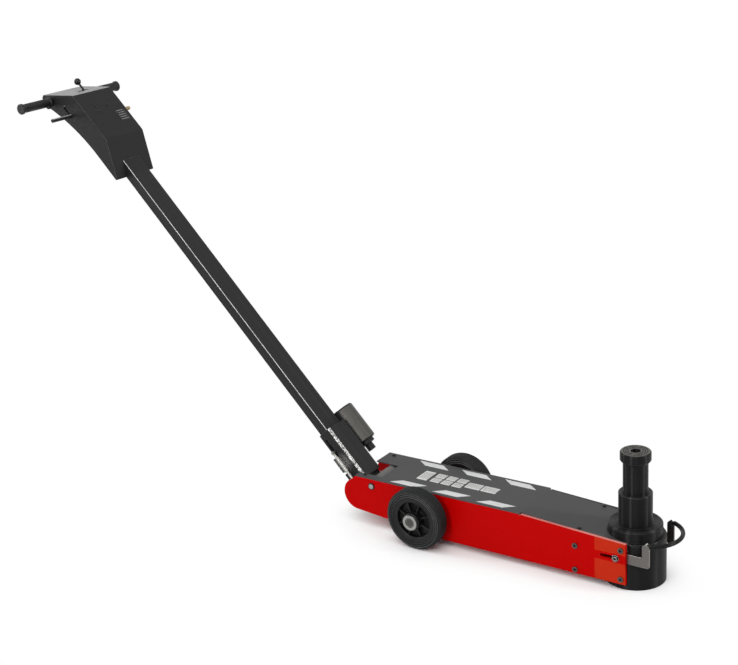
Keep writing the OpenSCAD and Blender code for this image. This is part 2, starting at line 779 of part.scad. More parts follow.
// Plate that stands on the tail's floor and carries the pivot pin
module pivot_plate(y0, y1, r) {
    slab(y0, y1) union() {
        translate([pivot_x, pivot_z]) circle(r = r);
        translate([pivot_x - foot_back, floor_z + floor_t])
            square([foot_back + foot_front, pivot_z - floor_z - floor_t]);
    }
}
module index_plate() {
    color("gray") difference() {
        pivot_plate(index_y - index_t, index_y, index_r);
        rod_y(pivot_x, pivot_z, index_y - index_t - through, index_y + through, pivot_pin_d / 2 + fit);
        for (tilt = [-tilt_down, 0, tilt_up])
            translate([pivot_x, 0, pivot_z]) rotate([0, handle_angle - 90 + tilt, 0])
                block([plunger_h - notch_w / 2, index_y - index_t - through, index_r - notch_cut],
                      [plunger_h + notch_w / 2, index_y + through, index_r + 5]);
    }
}
module pivot_lug() {
    color("gray") difference() {
        pivot_plate(lug_y, lug_y + lug_t, cheek_r);
        rod_y(pivot_x, pivot_z, lug_y - through, lug_y + lug_t + through, pivot_pin_d / 2 + fit);
    }
}
module pivot_pin() {
    color("silver") difference() {
        union() {
            rod_y(pivot_x, pivot_z, index_y - index_t - 3, lug_y + lug_t + 4, pivot_pin_d / 2);
            rod_y(pivot_x, pivot_z, index_y - index_t - 3.5, index_y - index_t - gap, pivot_pin_d / 2 + 3);
        }
        ring_y(pivot_x, pivot_z, lug_y + lug_t, lug_y + lug_t + clip_t,
               pivot_pin_d, pivot_pin_d / 2 - clip_sink);
    }
}

// ---- Carry handle ----

module carry_bars() {
    top_r = upright_w / 2;
    color("silver") both_sides() difference() {
        slab(-bar_y, -bar_y + bar_t) union() {
            translate([bar_tail_x, bar_z]) square([upright_x + upright_w - 6 - bar_tail_x, bar_h]);
            translate([upright_x, bar_z + 6]) square([upright_w, upright_top - top_r - bar_z - 6]);
            translate([upright_x + upright_w - 6, bar_z + 6]) circle(r = 6);
            translate([upright_x + top_r, upright_top - top_r]) circle(r = top_r);
        }
        rod_y(slot_bolt_x, slot_z, -plate_y, 0, slot_bolt_d / 2 + fit);
    }
}
// Round bar bent round the cylinder, its ends trimmed to butt against the uprights
module carry_grip() {
    half = asin((bar_y - bar_t / 2) / grip_bar_r);
    color([0.13, 0.13, 0.14]) difference() {
        translate([grip_x, 0, grip_z]) rotate([0, 0, -half])
            rotate_extrude(angle = 2 * half) translate([grip_bar_r, 0]) circle(d = grip_bar_d);
        both_sides()
            block([upright_x, -plate_y, bar_z],
                  [upright_x + upright_w + fit, -bar_y + bar_t + fit, upright_top + grip_bar_d]);
    }
}
module slot_bolts() {
    color("silver") both_sides() translate([slot_bolt_x, -plate_y - 2.2, slot_z])
        socket_screw(slot_bolt_d / 2, plate_t + 2.2 + bar_t - gap, 6.5, 4);
}
module slot_washers() {
    color("silver") both_sides()
        ring_y(slot_bolt_x, slot_z, -plate_y - 2, -plate_y - gap, 8.5, slot_bolt_d / 2 + fit);
}

// ---- Handle ----

// Section of the sleeve across the handle: folded plate with rounded edges, open to the rear
module sleeve_section(outer, back) {
    side = sleeve_side - (outer ? 0 : sleeve_t);
    front = sleeve_front - (outer ? 0 : sleeve_t);
    r = sleeve_round - (outer ? 0 : sleeve_t);
    union() {
        translate([back, -side]) square([front - r - back, 2 * side]);
        translate([back, -side + r]) square([front - back, 2 * (side - r)]);
        for (y = [-side + r, side - r])
            translate([front - r, y]) circle(r = r);
    }
}
module handle_sleeve() {
    back = tube_back - 1.5;
    cheek_back = -18;
    cheek_len = 62;
    color([0.17, 0.17, 0.17]) on_handle() translate([0, handle_y, 0]) difference() {
        union() {
            translate([0, 0, web_start]) linear_extrude(sleeve_len - web_start) difference() {
                sleeve_section(true, back);
                sleeve_section(false, back - through);
            }
            both_sides() {
                rod_y(0, 0, sleeve_side - sleeve_t, sleeve_side, cheek_r);
                block([cheek_back, sleeve_side - sleeve_t, 0], [cheek_r, sleeve_side, cheek_len]);
            }
        }
        rod_y(0, 0, -sleeve_side - through, sleeve_side + through, bush_r + fit);
        block([plunger_h - pin_slot_w / 2, -sleeve_side - through, pin_slot[0]],
              [plunger_h + pin_slot_w / 2, -sleeve_side + sleeve_t + through, pin_slot[1]]);
    }
}
module sleeve_bushes() {
    color("goldenrod") on_handle() translate([0, handle_y, 0]) both_sides()
        ring_y(0, 0, sleeve_side - sleeve_t, sleeve_side + 1.5, bush_r, pivot_pin_d / 2 + fit);
}
module handle_tube() {
    color([0.15, 0.15, 0.15]) on_handle() translate([0, handle_y, 0]) difference() {
        block([tube_back, -tube_side, tube_start], [tube_front, tube_side, tube_end]);
        block([tube_back + tube_wall, -tube_side + tube_wall, tube_start - through],
              [tube_front - tube_wall, tube_side - tube_wall, tube_end + through]);
        block([plunger_h - pin_slot_w / 2, -tube_side - through, pin_slot[0]],
              [plunger_h + pin_slot_w / 2, -tube_side + tube_wall + through, pin_slot[1]]);
    }
}

module plunger_barrel() {
    color("silver") on_handle() translate([plunger_h, plunger_y, 0]) difference() {
        rod_z(0, 0, barrel_from, barrel_to, barrel_r);
        rod_z(0, 0, barrel_from - through, barrel_to + through, plunger_r + fit);
        rod_z(0, 0, barrel_from + barrel_floor, barrel_to + through, barrel_r - barrel_wall);
    }
}
// Channel on the sleeve's cheek that clamps the plunger's barrel
module plunger_bracket() {
    wall = 3.4;
    long_from = barrel_from + 2;
    short_from = barrel_from + 5;
    face = handle_y - sleeve_side - gap / 2;
    color([0.08, 0.08, 0.08]) on_handle() difference() {
        union() {
            block([plunger_h - barrel_r - wall, face - 2 * barrel_r, long_from],
                  [plunger_h - barrel_r - fit, face, barrel_to]);
            block([plunger_h + barrel_r + fit, face - barrel_r + 1, short_from],
                  [plunger_h + barrel_r + wall - 0.4, face, barrel_to - barrel_floor]);
        }
        rod_z(plunger_h, plunger_y, barrel_from, barrel_to + through, barrel_r + fit);
    }
}
// Coil spring round the plunger, inside its barrel
module plunger_spring() {
    coil_r = plunger_r + 0.25 + spring_wire / 2 - 0.2;
    steps = 14;
    sides = 6;
    length = barrel_to - barrel_from - 2 * barrel_floor;
    pts = [for (i = [0 : spring_turns * steps], k = [0 : sides - 1])
        let (a = i * 360 / steps, b = k * 360 / sides, r = coil_r + spring_wire / 2 * 0.6 * cos(b))
        [r * cos(a), r * sin(a), i * length / (spring_turns * steps) + spring_wire / 2 * sin(b)]];
    rings = spring_turns * steps;
    faces = concat([[for (k = [0 : sides - 1]) k]],
        [for (i = [0 : rings - 1], k = [0 : sides - 1])
            [i * sides + k, (i + 1) * sides + k,
             (i + 1) * sides + (k + 1) % sides, i * sides + (k + 1) % sides]],
        [[for (k = [sides - 1 : -1 : 0]) rings * sides + k]]);
    color("silver") on_handle() translate([plunger_h, plunger_y, barrel_from + barrel_floor + 1])
        polyhedron(pts, faces);
}

// ---- Air motor ----

module air_motor_barrel() {
    color([0.3, 0.3, 0.3]) on_handle() translate([motor_h, motor_y, 0]) difference() {
        rod_z(0, 0, motor_s, motor_s + motor_len, motor_r);
        rod_z(0, 0, motor_s - through, motor_s + motor_len + through, motor_r - motor_wall);
    }
}
module air_motor_cap() {
    top = motor_s + motor_len;
    color([0.14, 0.14, 0.14]) on_handle() translate([motor_h, motor_y, 0]) {
        rod_z(0, 0, top - motor_plug_in, top, motor_r - motor_wall - fit);
        translate([0, 0, top]) cylinder(h = motor_cap_t, r1 = motor_r, r2 = motor_r - 2.5);
    }
}
module air_motor_base() {
    color([0.1, 0.1, 0.1]) on_handle() translate([motor_h, motor_y, 0]) {
        rod_z(0, 0, motor_s - 2, motor_s + motor_plug_in, motor_r - motor_wall - fit);
        rod_z(0, 0, motor_s - 2 - collar_len, motor_s - 2, motor_r - collar_in);
        rod_z(0, 0, motor_s - 2 - collar_len - plug_len, motor_s - 2, plug_r);
    }
}
// Arm on the sleeve's cheek with two saddles that the barrel is brazed to
module air_motor_bracket() {
    face = handle_y + sleeve_side + gap / 2;
    color([0.1, 0.1, 0.1]) on_handle() difference() {
        union() {
            for (s = saddles_at)
                block([motor_h - saddle_half, face, s],
                      [motor_h + saddle_half, motor_y - motor_r * 0.85, s + saddle_w]);
            block([arm[0], face, motor_s + 5], [arm[1], face + arm_t, sleeve_len + arm_past_sleeve]);
        }
        rod_z(motor_h, motor_y, motor_s, motor_s + motor_len, motor_r + fit);
    }
}

// ---- Control head ----

// Side outline of the head in local X (square to the handle) and local Z (along it)
function head_outline() = concat(
    corner([rear_edge(rear_curve_from), rear_curve_from], head_low, head_mid, 3, 4),
    corner(head_low, head_mid, head_top, bend_r, 5),
    corner(head_mid, head_top, head_rear, bend_r, 5),
    [head_rear, head_heel],
    [for (i = [0 : 10])
        let (s = rear_curve_to + (rear_curve_from - rear_curve_to) * i / 10) [rear_edge(s), s]]);
// Inside of the folded skin: the outline's front corners moved in by the sheet, open at the rear
function head_inside() =
    let (low_dir = unit(head_mid - head_low), mid_dir = unit(head_top - head_mid),
         top_dir = unit(head_rear - head_top),
         low_in = [-low_dir[1], low_dir[0]] * head_t, mid_in = [-mid_dir[1], mid_dir[0]] * head_t,
         top_in = [-top_dir[1], top_dir[0]] * head_t,
         a = meet(head_low + low_in, low_dir, head_mid + mid_in, mid_dir),
         b = meet(head_mid + mid_in, mid_dir, head_top + top_in, top_dir),
         low = head_low + low_in - low_dir * head_w, top = head_rear + top_in + top_dir * head_w)
    concat([low], corner(low, a, b, bend_r - head_t, 4), corner(a, b, top, bend_r - head_t, 4),
           [top, [head_heel[0] - head_w, (low[1] + top[1]) / 2]]);
// Where the line through p along d meets the line through q along e
function meet(p, d, q, e) =
    let (w = q - p) p + d * (w[0] * e[1] - w[1] * e[0]) / (d[0] * e[1] - d[1] * e[0]);

module head_housing() {
    color([0.13, 0.13, 0.13]) on_handle() difference() {
        slab(head_right, head_left) polygon(head_outline());
        slab(head_right + head_t, head_left - head_t) polygon(head_inside());
        // passage of the handle tube
        block([tube_back - tube_depth, handle_y - tube_side - gap, head_low[1] - tube_depth],
              [tube_front + gap, handle_y + tube_side + gap, bulkhead_s]);
        // lever slot in the top face
        block([lever_pivot[0] - lever_slot_w / 2, lever_slot[0], lever_slot_from],
              [lever_pivot[0] + lever_slot_w / 2, lever_slot[1], head_rear[1]]);
        // slot of the release bar in the right side
        for (s = [release_at[1], release_at[1] + release_travel])
            rod_y(release_at[0], s, head_right - through, head_right + head_t + through,
                  release_slot_w / 2);
        block([release_at[0] - release_slot_w / 2, head_right - through, release_at[1]],
              [release_at[0] + release_slot_w / 2, head_right + head_t + through,
               release_at[1] + release_travel]);
        rod_y(handlebar_at[0], handlebar_at[1], head_right - through, head_left + through,
              handlebar_d / 2 + fit);
        rod_y(inlet_h, inlet_s, head_left - head_t - through, head_left + through, inlet_r + fit);
        for (at = head_screw_at)
            rod_h(at, head_top[0] - head_t - 5, head_mid[0] + 5, head_screw_r + fit);
    }
}
// Plate across the housing, welded to it and to the tube
module head_bulkhead() {
    color([0.13, 0.13, 0.13]) on_handle() difference() {
        block([tube_back, head_right + head_t + gap, bulkhead_s + 1],
              [bulkhead_front, head_left - head_t - gap, bulkhead_s + 1 + bulkhead_t]);
        block([tube_back - through, handle_y - tube_side - fit, bulkhead_s],
              [tube_front + fit, handle_y + tube_side + fit, bulkhead_s + bulkhead_t + 2]);
    }
}
module head_screws() {
    color([0.06, 0.06, 0.06]) on_handle() for (at = head_screw_at)
        translate([head_face(at[1]) + 0.05, at[0], at[1]]) rotate([0, 90, 0]) {
            dome(head_screw_r + 1.7, 1.9);
            rod_z(0, 0, -head_t - head_screw_len, 0.5, head_screw_r);
        }
}
// Rod along the handle frame's X at at = [y, s], from h0 to h1
module rod_h(at, h0, h1, r) {
    translate([h0, at[0], at[1]]) rotate([0, 90, 0]) cylinder(h = h1 - h0, r = r);
}
// Height of the head's front face above the handle axis at s
function head_face(s) =
    head_top[0] + (head_mid[0] - head_top[0]) * (head_top[1] - s) / (head_top[1] - head_mid[1]);

module handlebar() {
    color([0.1, 0.1, 0.1]) on_handle() difference() {
        rod_y(handlebar_at[0], handlebar_at[1], handle_y - handlebar_len / 2, handle_y + handlebar_len / 2,
              handlebar_d / 2);
        rod_y(handlebar_at[0], handlebar_at[1], handle_y - handlebar_len / 2 - through,
              handle_y + handlebar_len / 2 + through, handlebar_d / 2 - 2);
    }
}
// Rubber grip on the right end of the handlebar, closed at its outer end
module grip() {
    outer = -handlebar_len / 2 - grip_over;
    inner = outer + grip_len;
    body_r = handlebar_d / 2 + grip_wall;
    ridge_pitch = (grip_len - 2 * grip_end_t) / (grip_ridges + 1);
    flange_r = grip_flange_d / 2;
    color([0.05, 0.05, 0.05]) difference() {
        union() {
            rod_y(0, 0, outer, inner, body_r);
            rod_y(0, 0, outer + 1, outer + 1 + grip_end_t, flange_r);
            rod_y(0, 0, outer, outer + 1, flange_r - 1);
            rod_y(0, 0, inner - grip_end_t, inner, flange_r - 0.5);
            for (ridge = [1 : grip_ridges])
                rod_y(0, 0, outer + ridge * ridge_pitch + 5, outer + ridge * ridge_pitch + 7.5,
                      body_r + 0.7);
        }
        rod_y(0, 0, outer + grip_over - 0.2, inner + through, handlebar_d / 2 + 0.02);
    }
}
module grips() {
    on_handle() translate([handlebar_at[0], handle_y, handlebar_at[1]]) both_sides() grip();
}

module control_valve() {
    high = valve_at + valve_size;
    color("silver") on_handle() difference() {
        block(valve_at, high);
        // clevis that holds the lever
        block([lever_pivot[0] - lever_r - 1, lever_slot[0], lever_pivot[2] - 16],
              [lever_pivot[0] + lever_r + 1, lever_slot[1], high[2] + through]);
        rod_h([lever_pivot[1], lever_pivot[2]], lever_pivot[0] - lever_pin_half - gap,
              lever_pivot[0] + lever_pin_half + gap, lever_pin_r + fit);
        for (at = head_screw_at)
            rod_h(at, head_top[0] - head_t - head_screw_len - 5, head_top[0], head_screw_r + fit);
    }
}
module air_inlet() {
    nut_h = 7;
    color("goldenrod") on_handle() translate([inlet_h, 0, inlet_s]) difference() {
        union() {
            rod_y(0, 0, valve_at[1] + valve_size[1] + gap, head_left + 4, inlet_r);
            translate([0, head_left + gap, 0]) rotate([-90, 0, 0])
                cylinder(h = nut_h, r = inlet_r + 3, $fn = 6);
            rod_y(0, 0, head_left + nut_h, head_left + nut_h + 10, inlet_r - 1);
            rod_y(0, 0, head_left + nut_h + 10, head_left + nut_h + 17, inlet_r + 0.2);
        }
        rod_y(0, 0, valve_at[1], head_left + nut_h + 20, inlet_r - 2.6);
    }
}
module air_tube() {
    low = 60;
    high = valve_at[2] + 24;
    color("royalblue") on_handle()
        translate([valve_at[0] - gap - air_tube_r, handle_y + 14, 0]) difference() {
            rod_z(0, 0, low, high, air_tube_r);
            rod_z(0, 0, low - through, high + through, air_tube_r - 1.5);
        }
}

// Plunger with the eye that joins it to the release rod
module plunger_rod() {
    color("tan") on_handle() {
        translate([plunger_h, plunger_y, 0]) {
            rod_z(0, 0, plunger_tip, eye_s - 4, plunger_r);
            difference() {
                rod_y(0, eye_s, -3, 3, 5);
                rod_y(0, eye_s, -4, 4, eye_pin_r + fit);
            }
        }
    }
}
// Rod inside the tube, with the cross pin that carries the plunger's eye
module release_rod() {
    color("silver") on_handle() {
        rod_z(plunger_h, release_rod_y, eye_s - 6, release_at[1] - release_bar_d / 2 + 0.15, release_rod_r);
        rod_y(plunger_h, eye_s, plunger_y - 5, release_rod_y, eye_pin_r);
    }
}
module release_bar() {
    color([0.08, 0.08, 0.08]) on_handle() difference() {
        rod_y(release_at[0], release_at[1], head_right - release_bar_reach, release_rod_y + 9,
              release_bar_d / 2);
        rod_z(plunger_h, release_rod_y, eye_s, release_at[1] - release_bar_d / 2 + 0.2, release_rod_r + 1);
    }
}

module control_lever() {
    color([0.1, 0.1, 0.1]) on_handle() {
        rod_z(lever_pivot[0], lever_pivot[1], lever_pivot[2] - 6, knob_s - 2, lever_r);
        // pin that the lever turns on, in the valve's clevis
        rod_h([lever_pivot[1], lever_pivot[2]], lever_pivot[0] - lever_pin_half,
              lever_pivot[0] + lever_pin_half, lever_pin_r);
    }
}
module lever_knob() {
    color([0.05, 0.05, 0.05]) on_handle() translate([lever_pivot[0], lever_pivot[1], knob_s]) difference() {
        sphere(d = knob_d);
        rod_z(0, 0, -knob_d, -2, lever_r + 0.02);
    }
}

side_plate_right();
side_plate_left();
top_cover();
cover_screws();
side_screws();
front_block();
bottom_plate();
rear_floor();
cross_bar();
cross_bar_rings();
wheel_axle();
axle_spacers();
axle_cups();
retaining_clips();
cylinder_body();
gland_nut();
gland_wiper();
oil_tank();
valve_block();
pressure_pipe();
index_plate();
pivot_lug();
pivot_pin();
ram_1();
ram_1_gland();
ram_2();
saddle();
tyre_right();
rim_right();
bush_right();
tyre_left();
rim_left();
bush_left();
carry_bars();
carry_grip();
slot_bolts();
slot_washers();
handle_sleeve();
sleeve_bushes();
handle_tube();
plunger_barrel();
plunger_bracket();
plunger_spring();
air_motor_barrel();
air_motor_cap();
air_motor_base();
air_motor_bracket();
head_housing();
head_bulkhead();
head_screws();
handlebar();
grips();
control_valve();
air_inlet();
air_tube();
plunger_rod();
release_rod();
release_bar();
control_lever();
lever_knob();
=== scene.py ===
"""Dresses the air-hydraulic trolley jack: paint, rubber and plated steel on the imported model, its
wheels, grips, screws, welds and springs, and the plain panels on its cover, on a pale studio floor.
Lengths are metres. +X points forward past the lifting cylinder, and +Y is the left side."""

import json
import math

import bmesh
import bpy
from bpy.props import FloatProperty, FloatVectorProperty, IntProperty, PointerProperty
from mathutils import Matrix, Vector
from mathutils.bvhtree import BVHTree

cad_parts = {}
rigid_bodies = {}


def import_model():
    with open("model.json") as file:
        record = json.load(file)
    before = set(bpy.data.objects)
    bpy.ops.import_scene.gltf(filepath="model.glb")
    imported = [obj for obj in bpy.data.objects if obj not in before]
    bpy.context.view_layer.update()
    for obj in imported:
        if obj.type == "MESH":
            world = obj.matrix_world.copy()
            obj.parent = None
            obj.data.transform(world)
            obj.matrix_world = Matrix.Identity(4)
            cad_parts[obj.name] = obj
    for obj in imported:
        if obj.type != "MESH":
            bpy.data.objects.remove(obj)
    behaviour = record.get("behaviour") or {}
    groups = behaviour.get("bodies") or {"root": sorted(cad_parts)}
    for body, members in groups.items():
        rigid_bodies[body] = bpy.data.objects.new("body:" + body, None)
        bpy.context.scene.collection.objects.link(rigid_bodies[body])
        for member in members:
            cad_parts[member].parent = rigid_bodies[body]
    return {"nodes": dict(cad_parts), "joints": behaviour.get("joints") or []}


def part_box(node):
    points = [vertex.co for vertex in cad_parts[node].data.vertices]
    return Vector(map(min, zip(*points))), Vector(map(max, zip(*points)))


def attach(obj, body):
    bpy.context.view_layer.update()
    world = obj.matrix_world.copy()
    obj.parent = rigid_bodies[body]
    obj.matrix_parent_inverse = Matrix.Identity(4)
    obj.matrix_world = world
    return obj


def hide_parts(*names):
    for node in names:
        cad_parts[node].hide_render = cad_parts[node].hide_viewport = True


bl_info = {
    "name": "Trolley Jack",
    "version": (1, 0, 0),
    "blender": (4, 5, 0),
    "location": "View3D > Sidebar > Jack",
    "description": "Builds the visible pieces and finishes of an air-hydraulic trolley jack",
    "category": "Object",
}

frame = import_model()
JOINTS = {joint["name"]: joint for joint in frame["joints"]}


def middle(node):
    """Centre of a CAD node's box."""
    low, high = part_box(node)
    return (low + high) / 2


def corners(points):
    """Lowest and highest corner of the box round a list of points."""
    return tuple(Vector([least(point[axis] for point in points) for axis in range(3)])
                 for least in (min, max))


def handle_frame():
    """Frame of the handle: X square to its front face, Y to the left, Z up along it from the pivot."""
    pivot = Vector(JOINTS["handle_tilt"]["pos_m"])
    out = Vector(JOINTS["control_lever_tilt"]["axis"])
    along = Vector(JOINTS["release_slide"]["axis"])
    turn = Matrix((out, Vector((0, 1, 0)), along)).transposed().to_4x4()
    return Matrix.Translation((pivot.x, 0, pivot.z)) @ turn


HANDLE = handle_frame()
UNHANDLE = HANDLE.inverted()
HANDLE_OUT = HANDLE.to_3x3() @ Vector((1, 0, 0))
HANDLE_LEAN = math.atan2(HANDLE[0][2], HANDLE[2][2])
# Distance of the side plates' outer faces from the middle plane
SIDE_FACE = abs(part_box("side_plate_right")[0].y)
# X at which the cover starts to fall towards the cylinder
COVER_BEND = -0.266
# How far along the handle its control head starts
HEAD_FOOT = 1.06
# How far from a face a place still counts as on it
SKIN = 0.0005
# Radius of the hole that a turned shape keeps on its axis where it looks closed
FINE_BORE = 0.0004


def handle_box(node):
    """Lowest and highest corner of a CAD node in the handle's frame."""
    return corners([UNHANDLE @ vertex.co for vertex in frame["nodes"][node].data.vertices])


def across(point, outward):
    """Placement whose Z points out of the jack's side: outward is -1 on the right and 1 on the left."""
    return Matrix.Translation(point) @ Matrix.Rotation(math.radians(-90 * outward), 4, "X")


def linear(red, green, blue):
    """Linear colour of a screen colour given from 0 to 255."""
    return tuple((c / 255 / 12.92) if c <= 10 else ((c / 255 + 0.055) / 1.055) ** 2.4
                 for c in (red, green, blue))


def grey(level):
    """Linear colour of a grey screen colour given from 0 to 255."""
    return linear(level, level, level)


def toned(shade, share):
    """The colour made darker by a share below 1, or lighter by one above."""
    return [channel * share for channel in shade]


# ---- Sizes and colours ----

def colour(name, description, default):
    """Property that holds a colour."""
    return FloatVectorProperty(name=name, description=description, subtype="COLOR", size=3,
                               min=0, max=1, default=default)


def length(name, description, default, low=0.0, high=10.0):
    """Property that holds a length."""
    return FloatProperty(name=name, description=description, subtype="DISTANCE", unit="LENGTH",
                         min=low, max=high, default=default, precision=4)


class JackColours(bpy.types.PropertyGroup):
    """Colours of the jack's finishes."""

    chassis: colour("Chassis", "Gloss paint of the side plates", linear(186, 2, 2))
    nose_patch: colour("Nose patch", "Thinner paint beside the carry handle's slot", linear(190, 44, 21))
    cover: colour("Cover", "Powder coat of the top cover", linear(70, 70, 71))
    black: colour("Handle black", "Powder coat of the handle and the control head", linear(33, 33, 34))
    oxide: colour("Cylinder black", "Oxide finish of the cylinder and its rams", linear(6, 6, 7))
    steel: colour("Plated steel", "Zinc plate of bolts, cups and pipes", linear(158, 158, 156))
    motor: colour("Air motor", "Coated barrel of the air motor", linear(74, 73, 70))
    brass: colour("Brass", "Air inlet and bearing bushes", linear(172, 152, 120))
    tyre: colour("Tyre", "Rubber of the tyres", linear(19, 20, 21))
    reflector: colour("Reflector", "Reflective strips on the cover", linear(214, 215, 214))
    panel: colour("Panel", "Blank panels on the cover", linear(216, 216, 214))


class JackWheels(bpy.types.PropertyGroup):
    """Sizes of the wheels' detail."""

    shoulder: length("Shoulder", "Radius of the tyre's rounded shoulder", 0.0085, 0.002, 0.015)
    groove: length("Groove", "Depth of the ring grooves in the tyre's sides", 0.0012, 0, 0.004)
    tread_lines: IntProperty(name="Tread lines", description="Fine grooves round the tread",
                             default=3, min=0, max=6)
    ribs: IntProperty(name="Ribs", description="Ribs in the plastic wheel centre",
                      default=8, min=3, max=16)
    rib_thickness: length("Rib thickness", "Thickness of a rib", 0.003, 0.001, 0.01)


class JackTrim(bpy.types.PropertyGroup):
    """Sizes of the marks, welds and grips."""

    strip_length: length("Strip length", "Length of a reflective strip", 0.072, 0.02, 0.12)
    strip_width: length("Strip width", "Width of a reflective strip", 0.021, 0.005, 0.04)
    strip_slant: length("Strip slant", "How far a strip's inner edge is shifted forward", 0.028, 0, 0.06)
    strip_pitch: length("Strip pitch", "Distance from one strip to the next", 0.128, 0.05, 0.3)
    mark_thickness: length("Mark thickness", "Thickness of the foil of strips and panels",
                           0.0003, 0.0001, 0.001)
    weld_radius: length("Weld radius", "Half width of a weld bead", 0.0021, 0.0005, 0.005)
    weld_pitch: length("Weld pitch", "Distance between the ripples of a weld", 0.0013, 0.0005, 0.005)
    grip_ribs: IntProperty(name="Grip ribs", description="Ribs along a rubber grip",
                           default=20, min=6, max=40)


class JackStudio(bpy.types.PropertyGroup):
    """Camera and light of the stage."""

    focal: FloatProperty(name="Focal length", description="Focal length of the camera",
                         default=72.37, min=20, max=200)
    place: FloatVectorProperty(name="Camera place", description="Where the camera stands",
                               subtype="XYZ", unit="LENGTH", default=(1.3360, -2.9185, 1.7374))
    azimuth: FloatProperty(name="Azimuth", description="Direction that the camera stands in",
                           subtype="ANGLE", default=math.radians(35.39))
    elevation: FloatProperty(name="Elevation", description="Camera's height above the horizon",
                             subtype="ANGLE", default=math.radians(18.97))
    roll: FloatProperty(name="Roll", description="Turn of the camera about its line of sight",
                        subtype="ANGLE", default=math.radians(-3.40))
    floor_colour: colour("Floor", "Colour of the studio floor", (0.92, 0.92, 0.92))
    light: FloatProperty(name="Light", description="Strength of all lamps together",
                         default=1.0, min=0, max=10)


# ---- Node trees ----

class Socket:
    """A node's output that can be added, multiplied and compared."""

    def __init__(self, nodes, output):
        self.nodes, self.output = nodes, output

    def _maths(self, operation, *values):
        return self.nodes.add("ShaderNodeMath", {"operation": operation}, dict(enumerate(values)))

    def __getitem__(self, name):
        """Another output of the same node."""
        return Socket(self.nodes, self.output.node.outputs[name])

    def __add__(self, other):
        return self._maths("ADD", self, other)

    def __sub__(self, other):
        return self._maths("SUBTRACT", self, other)

    def __rsub__(self, other):
        return self._maths("SUBTRACT", other, self)

    def __mul__(self, other):
        return self._maths("MULTIPLY", self, other)

    def __truediv__(self, other):
        return self._maths("DIVIDE", self, other)

    def __gt__(self, other):
        return self._maths("GREATER_THAN", self, other)

    def __lt__(self, other):
        return self._maths("LESS_THAN", self, other)

    def __abs__(self):
        return self._maths("ABSOLUTE", self)

    def __mod__(self, other):
        return self._maths("FLOORED_MODULO", self, other)

    __radd__, __rmul__ = __add__, __mul__

    def hypot(self, other):
        """Length of a step whose two parts are this and other."""
        return self._maths("SQRT", self * self + other * other)

    def between(self, low, high):
        """1 from low to high, and 0 outside."""
        return (self > low) * (self < high)

    def rise(self, low, high):
        """0 below low, 1 above high, and a smooth step from one to the other."""
        return self.nodes.add("ShaderNodeMapRange", {"interpolation_type": "SMOOTHSTEP"},
                              {"Value": self, "From Min": low, "From Max": high})


class Nodes:
    """A node tree that is filled in from an empty start."""

    def __init__(self, tree):
        self.tree = tree
        tree.nodes.clear()

    def add(self, kind, settings=None, sockets=None, output=0):
        """Adds a node. Its settings come first, then the values or links of its sockets."""
        node = self.tree.nodes.new(kind)
        for name, value in (settings or {}).items():
            setattr(node, name, value)
        for key, value in (sockets or {}).items():
            for link in value if isinstance(value, list) else [value]:
                if isinstance(link, Socket):
                    self.tree.links.new(link.output, node.inputs[key])
                else:
                    node.inputs[key].default_value = link
        return Socket(self, node.outputs[output]) if len(node.outputs) else None


